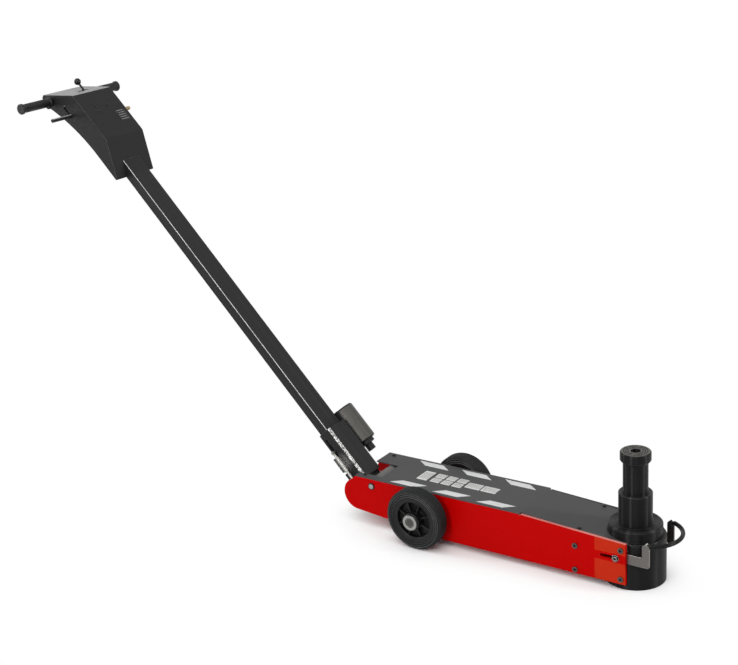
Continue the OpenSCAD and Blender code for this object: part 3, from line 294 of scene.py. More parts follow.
class Finish(Nodes):
    """The material of one finish. Its patterns run on object coordinates."""

    def __init__(self, name):
        self.material = bpy.data.materials.new(name)
        self.material.use_nodes = True
        super().__init__(self.material.node_tree)
        self.place = self.add("ShaderNodeTexCoord", output="Object")
        axes = self.add("ShaderNodeSeparateXYZ", {}, {0: self.place})
        self.x, self.y, self.z = axes["X"], axes["Y"], axes["Z"]

    def facing(self):
        """The way the surface faces, turning with its body, as its x, y and z."""
        normal = self.add("ShaderNodeTexCoord", output="Normal")
        axes = self.add("ShaderNodeSeparateXYZ", {}, {0: normal})
        return axes["X"], axes["Y"], axes["Z"]

    def on_handle(self):
        """How far a place is in front of the handle's pivot and how far along the handle."""
        return [self.x * row[0] + self.z * row[2] + row[3] for row in (UNHANDLE[0], UNHANDLE[2])]

    def on_panel(self):
        """How far a place is along a panel, in metres, and its share of the way across it."""
        uv = self.add("ShaderNodeUVMap", {"uv_map": "panel"})
        axes = self.add("ShaderNodeSeparateXYZ", {}, {0: uv})
        return axes["X"], axes["Y"]

    def grid(self, size, stretch=(1, 1, 1), turn=(0, 0, 0)):
        """Coordinates whose unit is size, longer along an axis where its stretch is above 1."""
        scale = tuple(1 / (size * s) for s in stretch)
        turned = self.add("ShaderNodeMapping", {"vector_type": "POINT"},
                          {"Vector": self.place, "Rotation": turn})
        return self.add("ShaderNodeVectorMath", {"operation": "MULTIPLY"}, {0: turned, 1: scale})

    def noise(self, size, detail=2.0, **grid):
        """Noise around 0.5 with grains of that size."""
        return self.add("ShaderNodeTexNoise", {}, {"Vector": self.grid(size, **grid), "Scale": 1.0,
                                                   "Detail": detail, "Roughness": 0.55})

    def cells(self, size, feature="F1", **grid):
        """Distance inside cells of that size."""
        return self.add("ShaderNodeTexVoronoi", {"feature": feature},
                        {"Vector": self.grid(size, **grid), "Scale": 1.0})

    def mix(self, share, first, second):
        """Colour that goes from first to second as share goes from 0 to 1."""
        first, second = (c if isinstance(c, Socket) else (*c[:3], 1) for c in (first, second))
        return self.add("ShaderNodeMix", {"data_type": "RGBA"}, {0: share, 6: first, 7: second}, 2)

    def rounded(self, radius):
        """Normal that looks as if edges had that radius."""
        return self.add("ShaderNodeBevel", {"samples": 6}, {"Radius": radius})

    def edges(self, rounded, sharp=0.2):
        """1 where the rounded normal leaves the true one, at edges, and sooner where sharp is lower."""
        true = self.add("ShaderNodeNewGeometry", output="Normal")
        turn = self.add("ShaderNodeVectorMath", {"operation": "DOT_PRODUCT"}, {0: rounded, 1: true},
                        "Value")
        return (1 - turn).rise(sharp * 0.1, sharp)

    def bump(self, height, depth, normal=None):
        """Normal after a relief of that depth."""
        sockets = {"Height": height, "Distance": depth, "Strength": 1.0}
        if normal:
            sockets["Normal"] = normal
        return self.add("ShaderNodeBump", {}, sockets)

    def done(self, base, roughness, normal=None, metallic=0.0, **fixed):
        """Closes the material with one Principled shader."""
        sockets = {"Base Color": base if isinstance(base, Socket) else (*base, 1),
                   "Roughness": roughness, "Metallic": metallic}
        sockets.update({name.replace("_", " "): value for name, value in fixed.items()})
        if normal:
            sockets["Normal"] = normal
        shader = self.add("ShaderNodeBsdfPrincipled", {}, sockets)
        self.add("ShaderNodeOutputMaterial", {}, {"Surface": shader})
        return self.material


# ---- Finishes ----

def red_paint(colours):
    """Gloss powder coat with orange peel, thinner beside the carry handle's slot, with painted
    highlights on its edges and on its upper faces.
    The left plate's inner side has the cover's colour in front of the cover's bend."""
    paint = Finish("red_paint")
    slot = middle("slot_bolts")
    slot_below, slot_above, patch_reach, plate_depth = 0.0115, 0.0105, 0.054, 0.009
    cloud = paint.noise(0.14, 3)
    rounded = paint.rounded(0.0011)
    _, facing_y, facing_z = paint.facing()
    outside = abs(paint.y) > SIDE_FACE - SKIN
    beside = paint.z.between(slot.z - slot_below, slot.z + slot_above)
    patch = outside * (paint.x > slot.x - patch_reach) * (1 - beside)
    # Painted highlight on the edges, broken up by noise
    edge = paint.edges(rounded) * paint.noise(0.02, 4).rise(0.5, 0.62)
    # Painted highlight on the faces that face up, above the slot bolts
    rim = (facing_z > 0.5) * (paint.z > slot.z)
    lining = (paint.y > SIDE_FACE - plate_depth) * (paint.x > COVER_BEND) * (facing_y < 0.5)
    shade = paint.mix(cloud * 0.25, colours.chassis, toned(colours.chassis, 0.86))
    shade = paint.mix(patch, shade, colours.nose_patch)
    # Painted highlights: pale red on the edges, pinkish white on the upper faces
    shade = paint.mix(edge * 0.5, shade, linear(226, 92, 76))
    shade = paint.mix(rim * 0.45, shade, linear(250, 190, 180))
    shade = paint.mix(lining, shade, toned(colours.cover, 0.8))
    peel = paint.bump(paint.noise(0.0026, 1), 0.00004, rounded)
    rough = 0.3 + cloud * 0.1 + patch * 0.14
    return paint.done(shade, rough, peel, Specular_IOR_Level=0.03)


def cover_paint(colours):
    """Fine powder coat of the top cover, a little dusty, with paler rubbed edges."""
    paint = Finish("cover_paint")
    grain, dust = paint.noise(0.0011, 2), paint.noise(0.11, 4)
    rounded = paint.rounded(0.0008)
    edge = paint.edges(rounded) * paint.noise(0.03, 3).rise(0.44, 0.6)
    shade = paint.mix(grain * 0.3, colours.cover, toned(colours.cover, 0.72))
    shade = paint.mix(dust.rise(0.45, 0.8) * 0.2, shade, toned(colours.cover, 1.4))
    shade = paint.mix(edge * 0.7, shade, grey(124))
    relief = paint.bump(grain, 0.00005, rounded)
    return paint.done(shade, 0.46 + dust * 0.14, relief, Specular_IOR_Level=0.18)


def black_paint(colours):
    """Textured satin powder coat with soft drawn lines below the control head, worn paler edges, and
    painted highlights on the head's upper faces and edges.
    Painted highlights in bright metal run down the tube's edge, over the sleeve's corner and round the
    plunger."""
    paint = Finish("black_paint")
    out, along = paint.on_handle()
    sleeve, tube, plunger = map(handle_box, ("handle_sleeve", "handle_tube", "plunger_barrel"))
    grain, wear = paint.noise(0.0009, 2), paint.noise(0.05, 4)
    mottle = paint.noise(0.0032, 4).rise(0.34, 0.62)
    below_head = along < HEAD_FOOT - 0.004
    drawn = paint.noise(0.0035, 1, stretch=(1, 1, 400), turn=(0, -HANDLE_LEAN, 0))
    rounded = paint.rounded(0.0016)
    # Edge mask for the worn paler edges and for the painted highlight along the head's edges
    wear_and_highlight_edges = paint.edges(rounded)
    # Painted highlights in bright metal: along the tube's near front edge, mottled on the sleeve's near
    # corner, and round the plunger
    line_width, line_end = 0.0012, 1.13
    tube_edge_highlight = (paint.y.between(tube[0].y - SKIN, tube[0].y + line_width)
                 * out.between(tube[1].x - line_width, tube[1].x + SKIN)
                 * along.between(sleeve[1].z, line_end) * (0.3 + wear * 0.9))
    corner_side, corner_front = 0.0058, 0.0062
    corner = ((paint.y < sleeve[0].y + corner_side) * (out > sleeve[1].x - corner_front)
              * (along < sleeve[1].z))
    centre = (plunger[0] + plunger[1]) / 2
    from_plunger = (out - centre.x).hypot(along - centre.z)
    plunger_ring = (1 - from_plunger.rise(0.008, 0.034)) * (paint.y < sleeve[0].y + 0.001)
    painted_highlights = tube_edge_highlight * 0.9 + (corner * 0.75 + plunger_ring * 0.3) * mottle
    # Painted highlight on the control head's upward faces
    head_top_start = 1.28
    head_top_highlight = (paint.facing()[2] > 0.75) * (along > head_top_start)
    shade = paint.mix(grain * 0.4, colours.black, toned(colours.black, 0.6))
    shade = paint.mix(drawn.rise(0.45, 0.7) * below_head * 0.45, shade, toned(colours.black, 2.2))
    shade = paint.mix(wear_and_highlight_edges * wear.rise(0.42, 0.6) * 0.55, shade, linear(104, 102, 98))
    # Painted highlight along the control head's edges
    shade = paint.mix(wear_and_highlight_edges * (along > HEAD_FOOT) * 0.6, shade, grey(120))
    shade = paint.mix(head_top_highlight * 0.85, shade, grey(168))
    # The painted highlights in bright metal
    shade = paint.mix(painted_highlights, shade, linear(236, 236, 234))
    relief = paint.bump(grain + drawn * below_head * 0.5, 0.00009, rounded)
    return paint.done(shade, 0.4 + wear * 0.12, relief, painted_highlights * 0.9, Specular_IOR_Level=0.16)


def black_oxide(colours):
    """Oiled black steel with fine turning lines and bright worn edges, greyer on the saddle's ridges
    and on the side screws' heads."""
    steel = Finish("black_oxide")
    turning = steel.noise(0.00045, 2, stretch=(60, 60, 1))
    smear = steel.noise(0.04, 4, stretch=(1, 1, 2.5))
    rounded = steel.rounded(0.0009)
    edge = steel.edges(rounded, 0.08)
    ridges = (steel.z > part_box("saddle")[1].z - SKIN) * (steel.facing()[2] > 0.9)
    heads = abs(steel.y) > SIDE_FACE + 0.0022
    shade = steel.mix(smear.rise(0.35, 0.75) * 0.5, colours.oxide, toned(colours.oxide, 0.5))
    shade = steel.mix(ridges * (0.4 + smear * 0.6), shade, linear(96, 94, 90))
    shade = steel.mix(heads * 0.6, shade, linear(92, 90, 87))
    shade = steel.mix(edge * 0.55, shade, linear(150, 148, 142))
    rough = 0.34 + smear * 0.12 + turning * 0.05
    return steel.done(shade, rough, steel.bump(turning, 0.00002, rounded), edge * 0.5,
                      Specular_IOR_Level=0.2, Anisotropic=1.0, Anisotropic_Rotation=0.25)


def zinc(colours):
    """Bright zinc plate with a faint warm and cool cast. From the slot bolts forward it is duller,
    with painted shade in the bolt sockets and painted highlights on its edges."""
    plate = Finish("zinc")
    cast, spangle = plate.noise(0.03, 3), plate.cells(0.0016)
    rounded = plate.rounded(0.0008)
    bolts_low, bolts_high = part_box("slot_bolts")
    dull = plate.x > bolts_low.x - 0.001
    outside = abs(plate.y) > SIDE_FACE
    # Painted shade in the recessed bolt sockets
    sockets = abs(plate.y).between(SIDE_FACE, bolts_high.y - 0.0009)
    shade = plate.mix(cast.rise(0.35, 0.7), colours.steel, linear(150, 149, 143))
    shade = plate.mix(spangle * 0.2, shade, linear(120, 122, 124))
    shade = plate.mix(dull, shade, linear(108, 104, 101))
    shade = plate.mix(dull * outside, shade, linear(104, 101, 98))
    # Painted shade in the bolt sockets, then a painted highlight on the edges
    shade = plate.mix(dull * sockets, shade, linear(34, 33, 32))
    shade = plate.mix(dull * plate.edges(rounded, 0.06) * 0.8, shade, linear(224, 222, 218))
    rough = 0.26 + spangle * 0.12 + cast * 0.1
    return plate.done(shade, rough, plate.bump(spangle, 0.00003, rounded), 1.0)


def bare_steel(colours):
    """Ground mild steel with brushed lines and a brownish bloom, paler at the cross bar's ends, with
    painted highlights on its edges.
    """
    steel = Finish("bare_steel")
    brushed, bloom = steel.noise(0.0006, 2, stretch=(50, 50, 1)), steel.noise(0.02, 4)
    rounded = steel.rounded(0.001)
    bar_end = (abs(steel.y) > SIDE_FACE - 0.001) * (steel.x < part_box("cross_bar")[1].x + 0.001)
    shade = steel.mix(brushed, linear(92, 90, 87), linear(112, 110, 106))
    shade = steel.mix(bloom.rise(0.5, 0.85) * 0.4, shade, linear(78, 66, 58))
    shade = steel.mix(bar_end * 0.8, shade, linear(168, 166, 162))
    # Painted highlight on the edges
    shade = steel.mix(steel.edges(rounded) * 0.7, shade, linear(196, 194, 190))
    relief = steel.bump(brushed, 0.00003, rounded)
    return steel.done(shade, 0.34 + bloom * 0.14, relief, 0.7, Specular_IOR_Level=0.3)


def motor_grey(colours):
    """Lacquered aluminium barrel, finely turned."""
    shell = Finish("motor_grey")
    turning = shell.noise(0.0005, 2, stretch=(40, 40, 1), turn=(0, -HANDLE_LEAN, 0))
    stain = shell.noise(0.03, 3)
    shade = shell.mix(stain.rise(0.4, 0.8) * 0.25, colours.motor, toned(colours.motor, 0.7))
    relief = shell.bump(turning, 0.00005, shell.rounded(0.001))
    rough = 0.34 + turning * 0.1 + stain * 0.06
    return shell.done(shade, rough, relief, 0.4, Specular_IOR_Level=0.3)


def brass(colours):
    """Turned brass, slightly tarnished."""
    metal = Finish("brass")
    stain = metal.noise(0.006, 4)
    shade = metal.mix(stain.rise(0.45, 0.8) * 0.7, colours.brass, linear(128, 96, 56))
    relief = metal.bump(stain, 0.00002, metal.rounded(0.0005))
    return metal.done(shade, 0.24 + stain * 0.2, relief, 1.0)


def tyre_rubber(colours):
    """Solid rubber: grey bloom and pale rings on the sides, scuffs and dust on the tread."""
    rubber = Finish("tyre_rubber")
    axle = middle("wheel_axle")
    radius = (rubber.x - axle.x).hypot(rubber.z - axle.z)
    tread = radius.rise(0.0775, 0.0795)
    first_ring, last_ring, pitch = 0.0592, 0.0735, 0.005
    bloom, grain, scuff = rubber.noise(0.03, 4), rubber.noise(0.0008, 2), rubber.noise(0.006, 5)
    rings = (((radius - first_ring) % pitch).between(0.0026, 0.0036)
             * radius.between(first_ring, last_ring))
    shade = rubber.mix(bloom.rise(0.4, 0.75) * 0.3, colours.tyre, linear(50, 50, 51))
    shade = rubber.mix(tread * scuff.rise(0.5, 0.7) * 0.15, shade, linear(84, 82, 78))
    shade = rubber.mix(rings * (0.3 + bloom * 0.6), shade, grey(112))
    rough = 0.5 + bloom * 0.2 + tread * 0.14
    relief = rubber.bump(grain + scuff * tread, 0.00007)
    return rubber.done(shade, rough, relief, Specular_IOR_Level=0.2)


def soft_rubber(colours):
    """Matt moulded rubber of grips, wipers and rings."""
    rubber = Finish("soft_rubber")
    grain, bloom = rubber.noise(0.0007, 2), rubber.noise(0.02, 3)
    shade = rubber.mix(bloom.rise(0.45, 0.8) * 0.5, linear(13, 13, 14), grey(30))
    relief = rubber.bump(grain, 0.00006)
    return rubber.done(shade, 0.4 + bloom * 0.16, relief, Specular_IOR_Level=0.3)


def black_plastic(colours):
    """Moulded nylon wheel centre: slight gloss, spark texture, and painted highlights on its rims and
    edges.
    """
    nylon = Finish("black_plastic")
    grain, haze = nylon.cells(0.0011), nylon.noise(0.02, 3)
    rounded = nylon.rounded(0.0009)
    shade = nylon.mix(haze.rise(0.4, 0.8) * 0.35, linear(13, 13, 14), linear(30, 30, 31))
    # Painted highlight on the edges
    shade = nylon.mix(nylon.edges(rounded) * 0.28, shade, grey(96))
    relief = nylon.bump(grain, 0.00004, rounded)
    return nylon.done(shade, 0.34 + haze * 0.16, relief, Specular_IOR_Level=0.25)


def knob_plastic(colours):
    """Polished black resin of the ball knob."""
    resin = Finish("knob_plastic")
    smudge = resin.noise(0.006, 4)
    shade = resin.mix(smudge * 0.3, linear(10, 10, 11), linear(26, 26, 27))
    return resin.done(shade, 0.1 + smudge.rise(0.5, 0.8) * 0.14, Specular_IOR_Level=0.3)


def aluminium(colours):
    """Milled aluminium of the control valve."""
    metal = Finish("aluminium")
    milled = metal.noise(0.0012, 2, stretch=(1, 30, 1))
    shade = metal.mix(milled, linear(176, 177, 178), linear(200, 201, 202))
    relief = metal.bump(milled, 0.00003, metal.rounded(0.0008))
    return metal.done(shade, 0.3 + milled * 0.14, relief, 1.0)


def blue_tube(colours):
    """Polyurethane air tube."""
    tube = Finish("blue_tube")
    haze = tube.noise(0.01, 2)
    shade = tube.mix(haze, linear(28, 66, 150), linear(40, 84, 172))
    return tube.done(shade, 0.26 + haze * 0.1, Coat_Weight=0.2)


def reflector(colours):
    """Pale reflective foil with its fine honeycomb of cells, and dirt in patches."""
    foil = Finish("reflector")
    cells, dirt = foil.cells(0.0026, "DISTANCE_TO_EDGE"), foil.noise(0.012, 4)
    wall = 1 - cells.rise(0.02, 0.09)
    shade = foil.mix(wall * 0.35, colours.reflector, toned(colours.reflector, 0.72))
    shade = foil.mix(dirt.rise(0.52, 0.8) * 0.3, shade, linear(160, 160, 158))
    relief = foil.bump(wall, 0.00003)
    return foil.done(shade, 0.3 + dirt * 0.14, relief, Coat_Weight=0.3, Coat_Roughness=0.2)


def panel_foil(colours):
    """Blank panel: pale foil with plain dark lines ruled across it."""
    foil = Finish("panel_foil")
    along, share = foil.on_panel()
    margin, pitch, line = 0.004, 0.0042, 0.0015
    dirt = foil.noise(0.02, 4)
    ruled = (along % pitch < line) * share.between(0.14, 0.86) * (along > margin)
    shade = foil.mix(ruled * 0.9, colours.panel, linear(48, 48, 50))
    shade = foil.mix(dirt.rise(0.5, 0.8) * 0.25, shade, linear(168, 168, 164))
    return foil.done(shade, 0.34 + dirt * 0.14, Coat_Weight=0.2, Coat_Roughness=0.25)


def head_foil(colours):
    """Dark label with plain pale lines."""
    foil = Finish("head_foil")
    along, share = foil.on_panel()
    pitch, line = 0.0072, 0.0018
    broken = foil.noise(0.004, 2).rise(0.3, 0.5)
    lines = (along % pitch < line) * share.between(0.16, 0.84) * broken
    shade = foil.mix(lines, linear(30, 30, 31), grey(150))
    return foil.done(shade, 0.4, Specular_IOR_Level=0.2)


FINISHES = {maker.__name__: maker for maker in (
    red_paint, cover_paint, black_paint, black_oxide, zinc, bare_steel, motor_grey, brass, tyre_rubber,
    soft_rubber, black_plastic, knob_plastic, aluminium, blue_tube, reflector, panel_foil, head_foil)}


def finish(name):
    """The material of that finish, made when it is first asked for."""
    return bpy.data.materials.get("jack_" + name) or named(name)


def named(name):
    """Makes that finish's material and names it after it."""
    material = FINISHES[name](bpy.context.scene.jack_colours)
    material.name = "jack_" + name
    return material


def dress(*nodes):
    """Gives CAD nodes the finish that their material slot is named after."""
    for node in nodes:
        slot = frame["nodes"][node].material_slots[0]
        slot.material = finish(slot.material.name)


# ---- Geometry ----

def linked(name, data):
    """New object of the scene that holds the data."""
    thing = bpy.data.objects.new(name, data)
    bpy.context.scene.collection.objects.link(thing)
    return thing


class Recipe(Nodes):
    """A Geometry Nodes tree with named sizes, whose result becomes a plain mesh."""

    def __init__(self, name, **sizes):
        super().__init__(bpy.data.node_groups.new(name, "GeometryNodeTree"))
        self.tree.interface.new_socket("Geometry", in_out="OUTPUT", socket_type="NodeSocketGeometry")
        self.ids = {size: self.tree.interface.new_socket(size, in_out="INPUT",
                                                         socket_type="NodeSocket" + kind).identifier
                    for size, kind in {**sizes, "finish": "Material"}.items()}
        entry = self.tree.nodes.new("NodeGroupInput")
        self.size = {size: Socket(self, entry.outputs[size]) for size in self.ids}

    def shape(self, source):
        """Geometry of the object given for a size."""
        return self.add("GeometryNodeObjectInfo", {}, {"Object": self.size[source]}, "Geometry")

    def path(self, source):
        """The edges of the object given for a size, as a curve."""
        return self.add("GeometryNodeMeshToCurve", {}, {"Mesh": self.shape(source)})

    def end(self, geometry):
        """Ends the tree with real geometry of one finish."""
        whole = self.add("GeometryNodeRealizeInstances", {}, {"Geometry": geometry})
        whole = self.add("GeometryNodeSetMaterial", {},
                         {"Geometry": whole, "Material": self.size["finish"]})
        self.add("NodeGroupOutput", {}, {"Geometry": whole})
        return self

    def end_set(self, points, shape, **places):
        """Ends the tree with the shape set on every point."""
        return self.end(self.add("GeometryNodeInstanceOnPoints", {},
                                 {"Points": points, "Instance": shape, **places}))

    def mesh(self, **values):
        """The tree's result for these sizes. Helper objects given as sizes are removed afterwards."""
        carrier = linked("carrier", bpy.data.meshes.new("carrier"))
        modifier = carrier.modifiers.new("recipe", "NODES")
        modifier.node_group = self.tree
        for size, value in values.items():
            modifier[self.ids[size]] = value
        graph = bpy.context.evaluated_depsgraph_get()
        result = bpy.data.meshes.new_from_object(carrier.evaluated_get(graph))
        carrier.modifiers.clear()
        helpers = [value for value in values.values() if isinstance(value, bpy.types.Object)]
        for helper in [carrier, *helpers]:
            bpy.data.objects.remove(helper)
        return result


def turned_recipe():
    """Turns a profile, whose X is the radius and whose Y runs down the axis, into a closed ring."""
    recipe = Recipe("turned", profile="Object", steps="Int")
    profile = recipe.add("GeometryNodeTransform", {}, {"Geometry": recipe.path("profile"),
                                                       "Translation": (-1, 0, 0)})
    rail = recipe.add("GeometryNodeCurvePrimitiveCircle", {}, {"Resolution": recipe.size["steps"],
                                                               "Radius": 1.0})
    return recipe.end(recipe.add("GeometryNodeCurveToMesh", {}, {"Curve": rail,
                                                                 "Profile Curve": profile}))


def round_recipe():
    """Sets a shape that lies off the Z axis round it, in equal steps."""
    recipe = Recipe("round_the_axis", shape="Object", count="Int")
    count = recipe.size["count"]
    points = recipe.add("GeometryNodeMeshLine", {}, {"Count": count, "Offset": (0, 0, 0)})
    index = recipe.add("GeometryNodeInputIndex")
    turn = recipe.add("ShaderNodeCombineXYZ", {}, {"Z": index * math.tau / count})
    return recipe.end_set(points, recipe.shape("shape"), Rotation=turn)


def row_recipe():
    """Repeats a shape along a straight row."""
    recipe = Recipe("row", shape="Object", count="Int", pitch="Vector")
    points = recipe.add("GeometryNodeMeshLine", {}, {"Count": recipe.size["count"],
                                                     "Offset": recipe.size["pitch"]})
    return recipe.end_set(points, recipe.shape("shape"))


def seat_recipe():
    """Sets a shape on every point of another, its Z along the point's facing."""
    recipe = Recipe("seats", shape="Object", seats="Object")
    facing = recipe.add("GeometryNodeInputNamedAttribute", {"data_type": "FLOAT_VECTOR"},
                        {"Name": "facing"})
    turn = recipe.add("FunctionNodeAlignRotationToVector", {"axis": "Z"}, {"Vector": facing})
    return recipe.end_set(recipe.shape("seats"), recipe.shape("shape"), Rotation=turn)


def weld_recipe():
    """Lays overlapping flat ripples along a path, as a weld bead."""
    recipe = Recipe("weld", path="Object", radius="Float", pitch="Float")
    points = recipe.add("GeometryNodeCurveToPoints", {"mode": "LENGTH"},
                        {"Curve": recipe.path("path"), "Length": recipe.size["pitch"]})
    ripple = recipe.add("GeometryNodeMeshUVSphere", {}, {"Segments": 10, "Rings": 5, "Radius": 1.0})
    varied = recipe.add("FunctionNodeRandomValue", {"data_type": "FLOAT"},
                        {2: 0.86, 3: 1.12, "Seed": 7}, 1)
    scale = recipe.add("ShaderNodeVectorMath", {"operation": "SCALE"},
                       {0: (1, 1, 0.7), "Scale": varied * recipe.size["radius"]})
    return recipe.end_set(points, ripple, Rotation=points["Rotation"], Scale=scale)


def coil_recipe():
    """Winds a round wire into a coil that stands on the origin."""
    recipe = Recipe("coil", radius="Float", height="Float", turns="Float", wire="Float")
    radius, wire = recipe.size["radius"], recipe.size["wire"]
    line = recipe.add("GeometryNodeCurveSpiral", {}, {
        "Resolution": 24, "Rotations": recipe.size["turns"], "Start Radius": radius,
        "End Radius": radius, "Height": recipe.size["height"]})
    section = recipe.add("GeometryNodeCurvePrimitiveCircle", {}, {"Resolution": 10,
                                                                  "Radius": wire * 0.5})
    return recipe.end(recipe.add("GeometryNodeCurveToMesh", {}, {
        "Curve": line, "Profile Curve": section, "Fill Caps": True}))


# The recipes by name, which main makes
RECIPES = {}


def helper(name, points, edges=(), facing=()):
    """A bare object for a recipe to read, removed after its use. Its points may have a facing."""
    mesh = bpy.data.meshes.new(name)
    mesh.from_pydata([tuple(p) for p in points], list(edges), [])
    if facing:
        values = mesh.attributes.new("facing", "FLOAT_VECTOR", "POINT")
        values.data.foreach_set("vector", [c for f in facing for c in f])
    return linked(name, mesh)


def outline(points, closed=True):
    """Helper whose edges join the points in order."""
    count = len(points)
    edges = [(i, (i + 1) % count) for i in range(count if closed else count - 1)]
    return helper("outline", [(*p, 0) if len(p) == 2 else p for p in points], edges)


def shape_of(mesh):
    """Helper that holds a ready mesh."""
    return linked("shape", mesh)


def piece(name, mesh, body, slot, place=Matrix(), stands_for=(), crease=32):
    """Finished piece: welded, facing outward, its place in its mesh, riding on its body."""
    mesh.transform(place)
    shell = bmesh.new()
    shell.from_mesh(mesh)
    bmesh.ops.remove_doubles(shell, verts=shell.verts, dist=1e-6)
    bmesh.ops.recalc_face_normals(shell, faces=shell.faces)
    shell.to_mesh(mesh)
    shell.free()
    mesh.shade_smooth()
    mesh.set_sharp_from_angle(angle=math.radians(crease))
    mesh.materials.clear()
    mesh.materials.append(finish(slot))
    thing = linked(name, mesh)
    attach(thing, body)
    if stands_for:
        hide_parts(*stands_for)
    return thing


def mesh_of(shell, name):
    """Mesh of a bmesh, which is freed."""
    mesh = bpy.data.meshes.new(name)
    shell.to_mesh(mesh)
    shell.free()
    return mesh


def joined(*meshes):
    """One mesh of several."""
    whole = bmesh.new()
    for mesh in meshes:
        whole.from_mesh(mesh)
    return mesh_of(whole, "joined")


def moved(mesh, place):
    """The mesh itself, moved by that placement."""
    mesh.transform(place)
    return mesh


def turned(profile, steps=96):
    """Ring whose profile is given as (radius, height along the axis)."""
    line = outline([(radius, -height) for radius, height in profile])
    return RECIPES["turned"].mesh(profile=line, steps=steps)


def arc(centre, radius, start, stop, steps=8):
    """Points of an arc, its angles in degrees."""
    return [(centre[0] + radius * math.cos(math.radians(start + (stop - start) * i / steps)),
             centre[1] + radius * math.sin(math.radians(start + (stop - start) * i / steps)))
            for i in range(steps + 1)]


def plate(outline_points, thickness, bevel=0.0, both=False):
    """Flat plate of that outline standing on Z = 0, its top edge, or both edges, rounded by bevel."""
    shell = bmesh.new()
    ring = [shell.verts.new((*p, 0)) for p in outline_points]
    face = shell.faces.new(ring)
    top = bmesh.ops.extrude_face_region(shell, geom=[face])
    risen = [v for v in top["geom"] if isinstance(v, bmesh.types.BMVert)]
    bmesh.ops.translate(shell, vec=(0, 0, thickness), verts=risen)
    if bevel:
        rim = [e for e in shell.edges if all(v in risen for v in e.verts)
               or both and all(v in ring for v in e.verts)]
        bmesh.ops.bevel(shell, geom=rim, offset=bevel, segments=2, affect="EDGES", profile=0.5)
    bmesh.ops.recalc_face_normals(shell, faces=shell.faces)
    return mesh_of(shell, "plate")


def rounded_rectangle(width, height, radius):
    """Outline of a rectangle round the origin with rounded corners."""
    x, y = width / 2 - radius, height / 2 - radius
    return [p for cx, cy, start in ((x, y, 0), (-x, y, 90), (-x, -y, 180), (x, -y, 270))
            for p in arc((cx, cy), radius, start, start + 90, 4)]


def screw_head(radius, height, socket, domed):
    """Screw head standing on Z = 0, domed or flat topped, with a hexagon socket of that half width."""
    steps, shell = 36, bmesh.new()
    chamfer = height * 0.14
    if domed:
        side = [(radius * math.cos(math.radians(a)), height * math.sin(math.radians(a)))
                for a in (0, 12, 24, 38, 52)]
        top = side[-1][1] + height * 0.06
    else:
        side = [(radius, 0), (radius, height - chamfer), (radius - chamfer, height)]
        top = height
    lead_in, lead_in_depth, socket_depth = 1.12, height * 0.07, height * 0.6
    hexagon = [socket / math.cos(math.radians((i * 360 / steps) % 60 - 30)) for i in range(steps)]
    rows = [[(r, z)] * steps for r, z in side]
    rows.append([(r * lead_in, top) for r in hexagon])
    rows += [[(r, top - depth) for r in hexagon] for depth in (lead_in_depth, socket_depth)]
    turns = [i * math.tau / steps for i in range(steps)]
    rings = [[shell.verts.new((r * math.cos(a), r * math.sin(a), z)) for a, (r, z) in zip(turns, row)]
             for row in rows]
    for low, high in zip(rings, rings[1:]):
        for i in range(steps):
            shell.faces.new((low[i], low[(i + 1) % steps], high[(i + 1) % steps], high[i]))
    shell.faces.new(rings[-1])
    shell.faces.new(rings[0][::-1])
    return mesh_of(shell, "screw_head")


def screws(seats, radius, height, socket, shank, domed=False):
    """Screws on seats, which are (point, direction) pairs, each with a shank of (radius, length)."""
    head = screw_head(radius, height, socket, domed)
    thick, reach = shank
    chamfer = 0.001
    stem = turned([(FINE_BORE, 0), (thick, 0), (thick, chamfer - reach), (thick - chamfer, -reach),
                   (FINE_BORE, -reach)], 24)
    spots = helper("seats", [point for point, _ in seats], facing=[facing for _, facing in seats])
    return RECIPES["seats"].mesh(shape=shape_of(joined(head, stem)), seats=spots)


def side_seats(node, distance):
    """Seats, at that distance from the middle plane, for screws that point out of the jack's sides."""
    seats = []
    for low, high in solids(node):
        centre = (low + high) / 2
        outward = math.copysign(1, centre.y)
        seats.append(((centre.x, outward * distance, centre.z), (0, outward, 0)))
    return seats


def weld(*points):
    """Weld bead along the points."""
    trim = bpy.context.scene.jack_trim
    return RECIPES["weld"].mesh(path=outline(points, closed=False), radius=trim.weld_radius,
                                pitch=trim.weld_pitch)


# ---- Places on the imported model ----

def slot_of(node):
    """Name of a CAD node's material slot."""
    return frame["nodes"][node].material_slots[0].material.name.removeprefix("jack_")


def solids(node, into=Matrix()):
    """Lowest and highest corner of each separate solid of a CAD node, in the frame into."""
    shell = bmesh.new()
    shell.from_mesh(frame["nodes"][node].data)
    bmesh.ops.remove_doubles(shell, verts=shell.verts, dist=1e-6)
    left, boxes = set(shell.verts), []
    for first in shell.verts:
        if first not in left:
            continue
        left.remove(first)
        edge, solid = [first], []
        while edge:
            vert = edge.pop()
            solid.append(into @ vert.co)
            near = {link.other_vert(vert) for link in vert.link_edges} & left
            left -= near
            edge += near
        boxes.append(corners(solid))
    shell.free()
    return boxes


def touch(node, start, direction):
    """Point and normal of a CAD node's surface where a ray first meets it."""
    tree = BVHTree.FromObject(frame["nodes"][node], bpy.context.evaluated_depsgraph_get())
    point, normal, _, _ = tree.ray_cast(Vector(start), Vector(direction))
    return point, normal


# ---- Operators ----

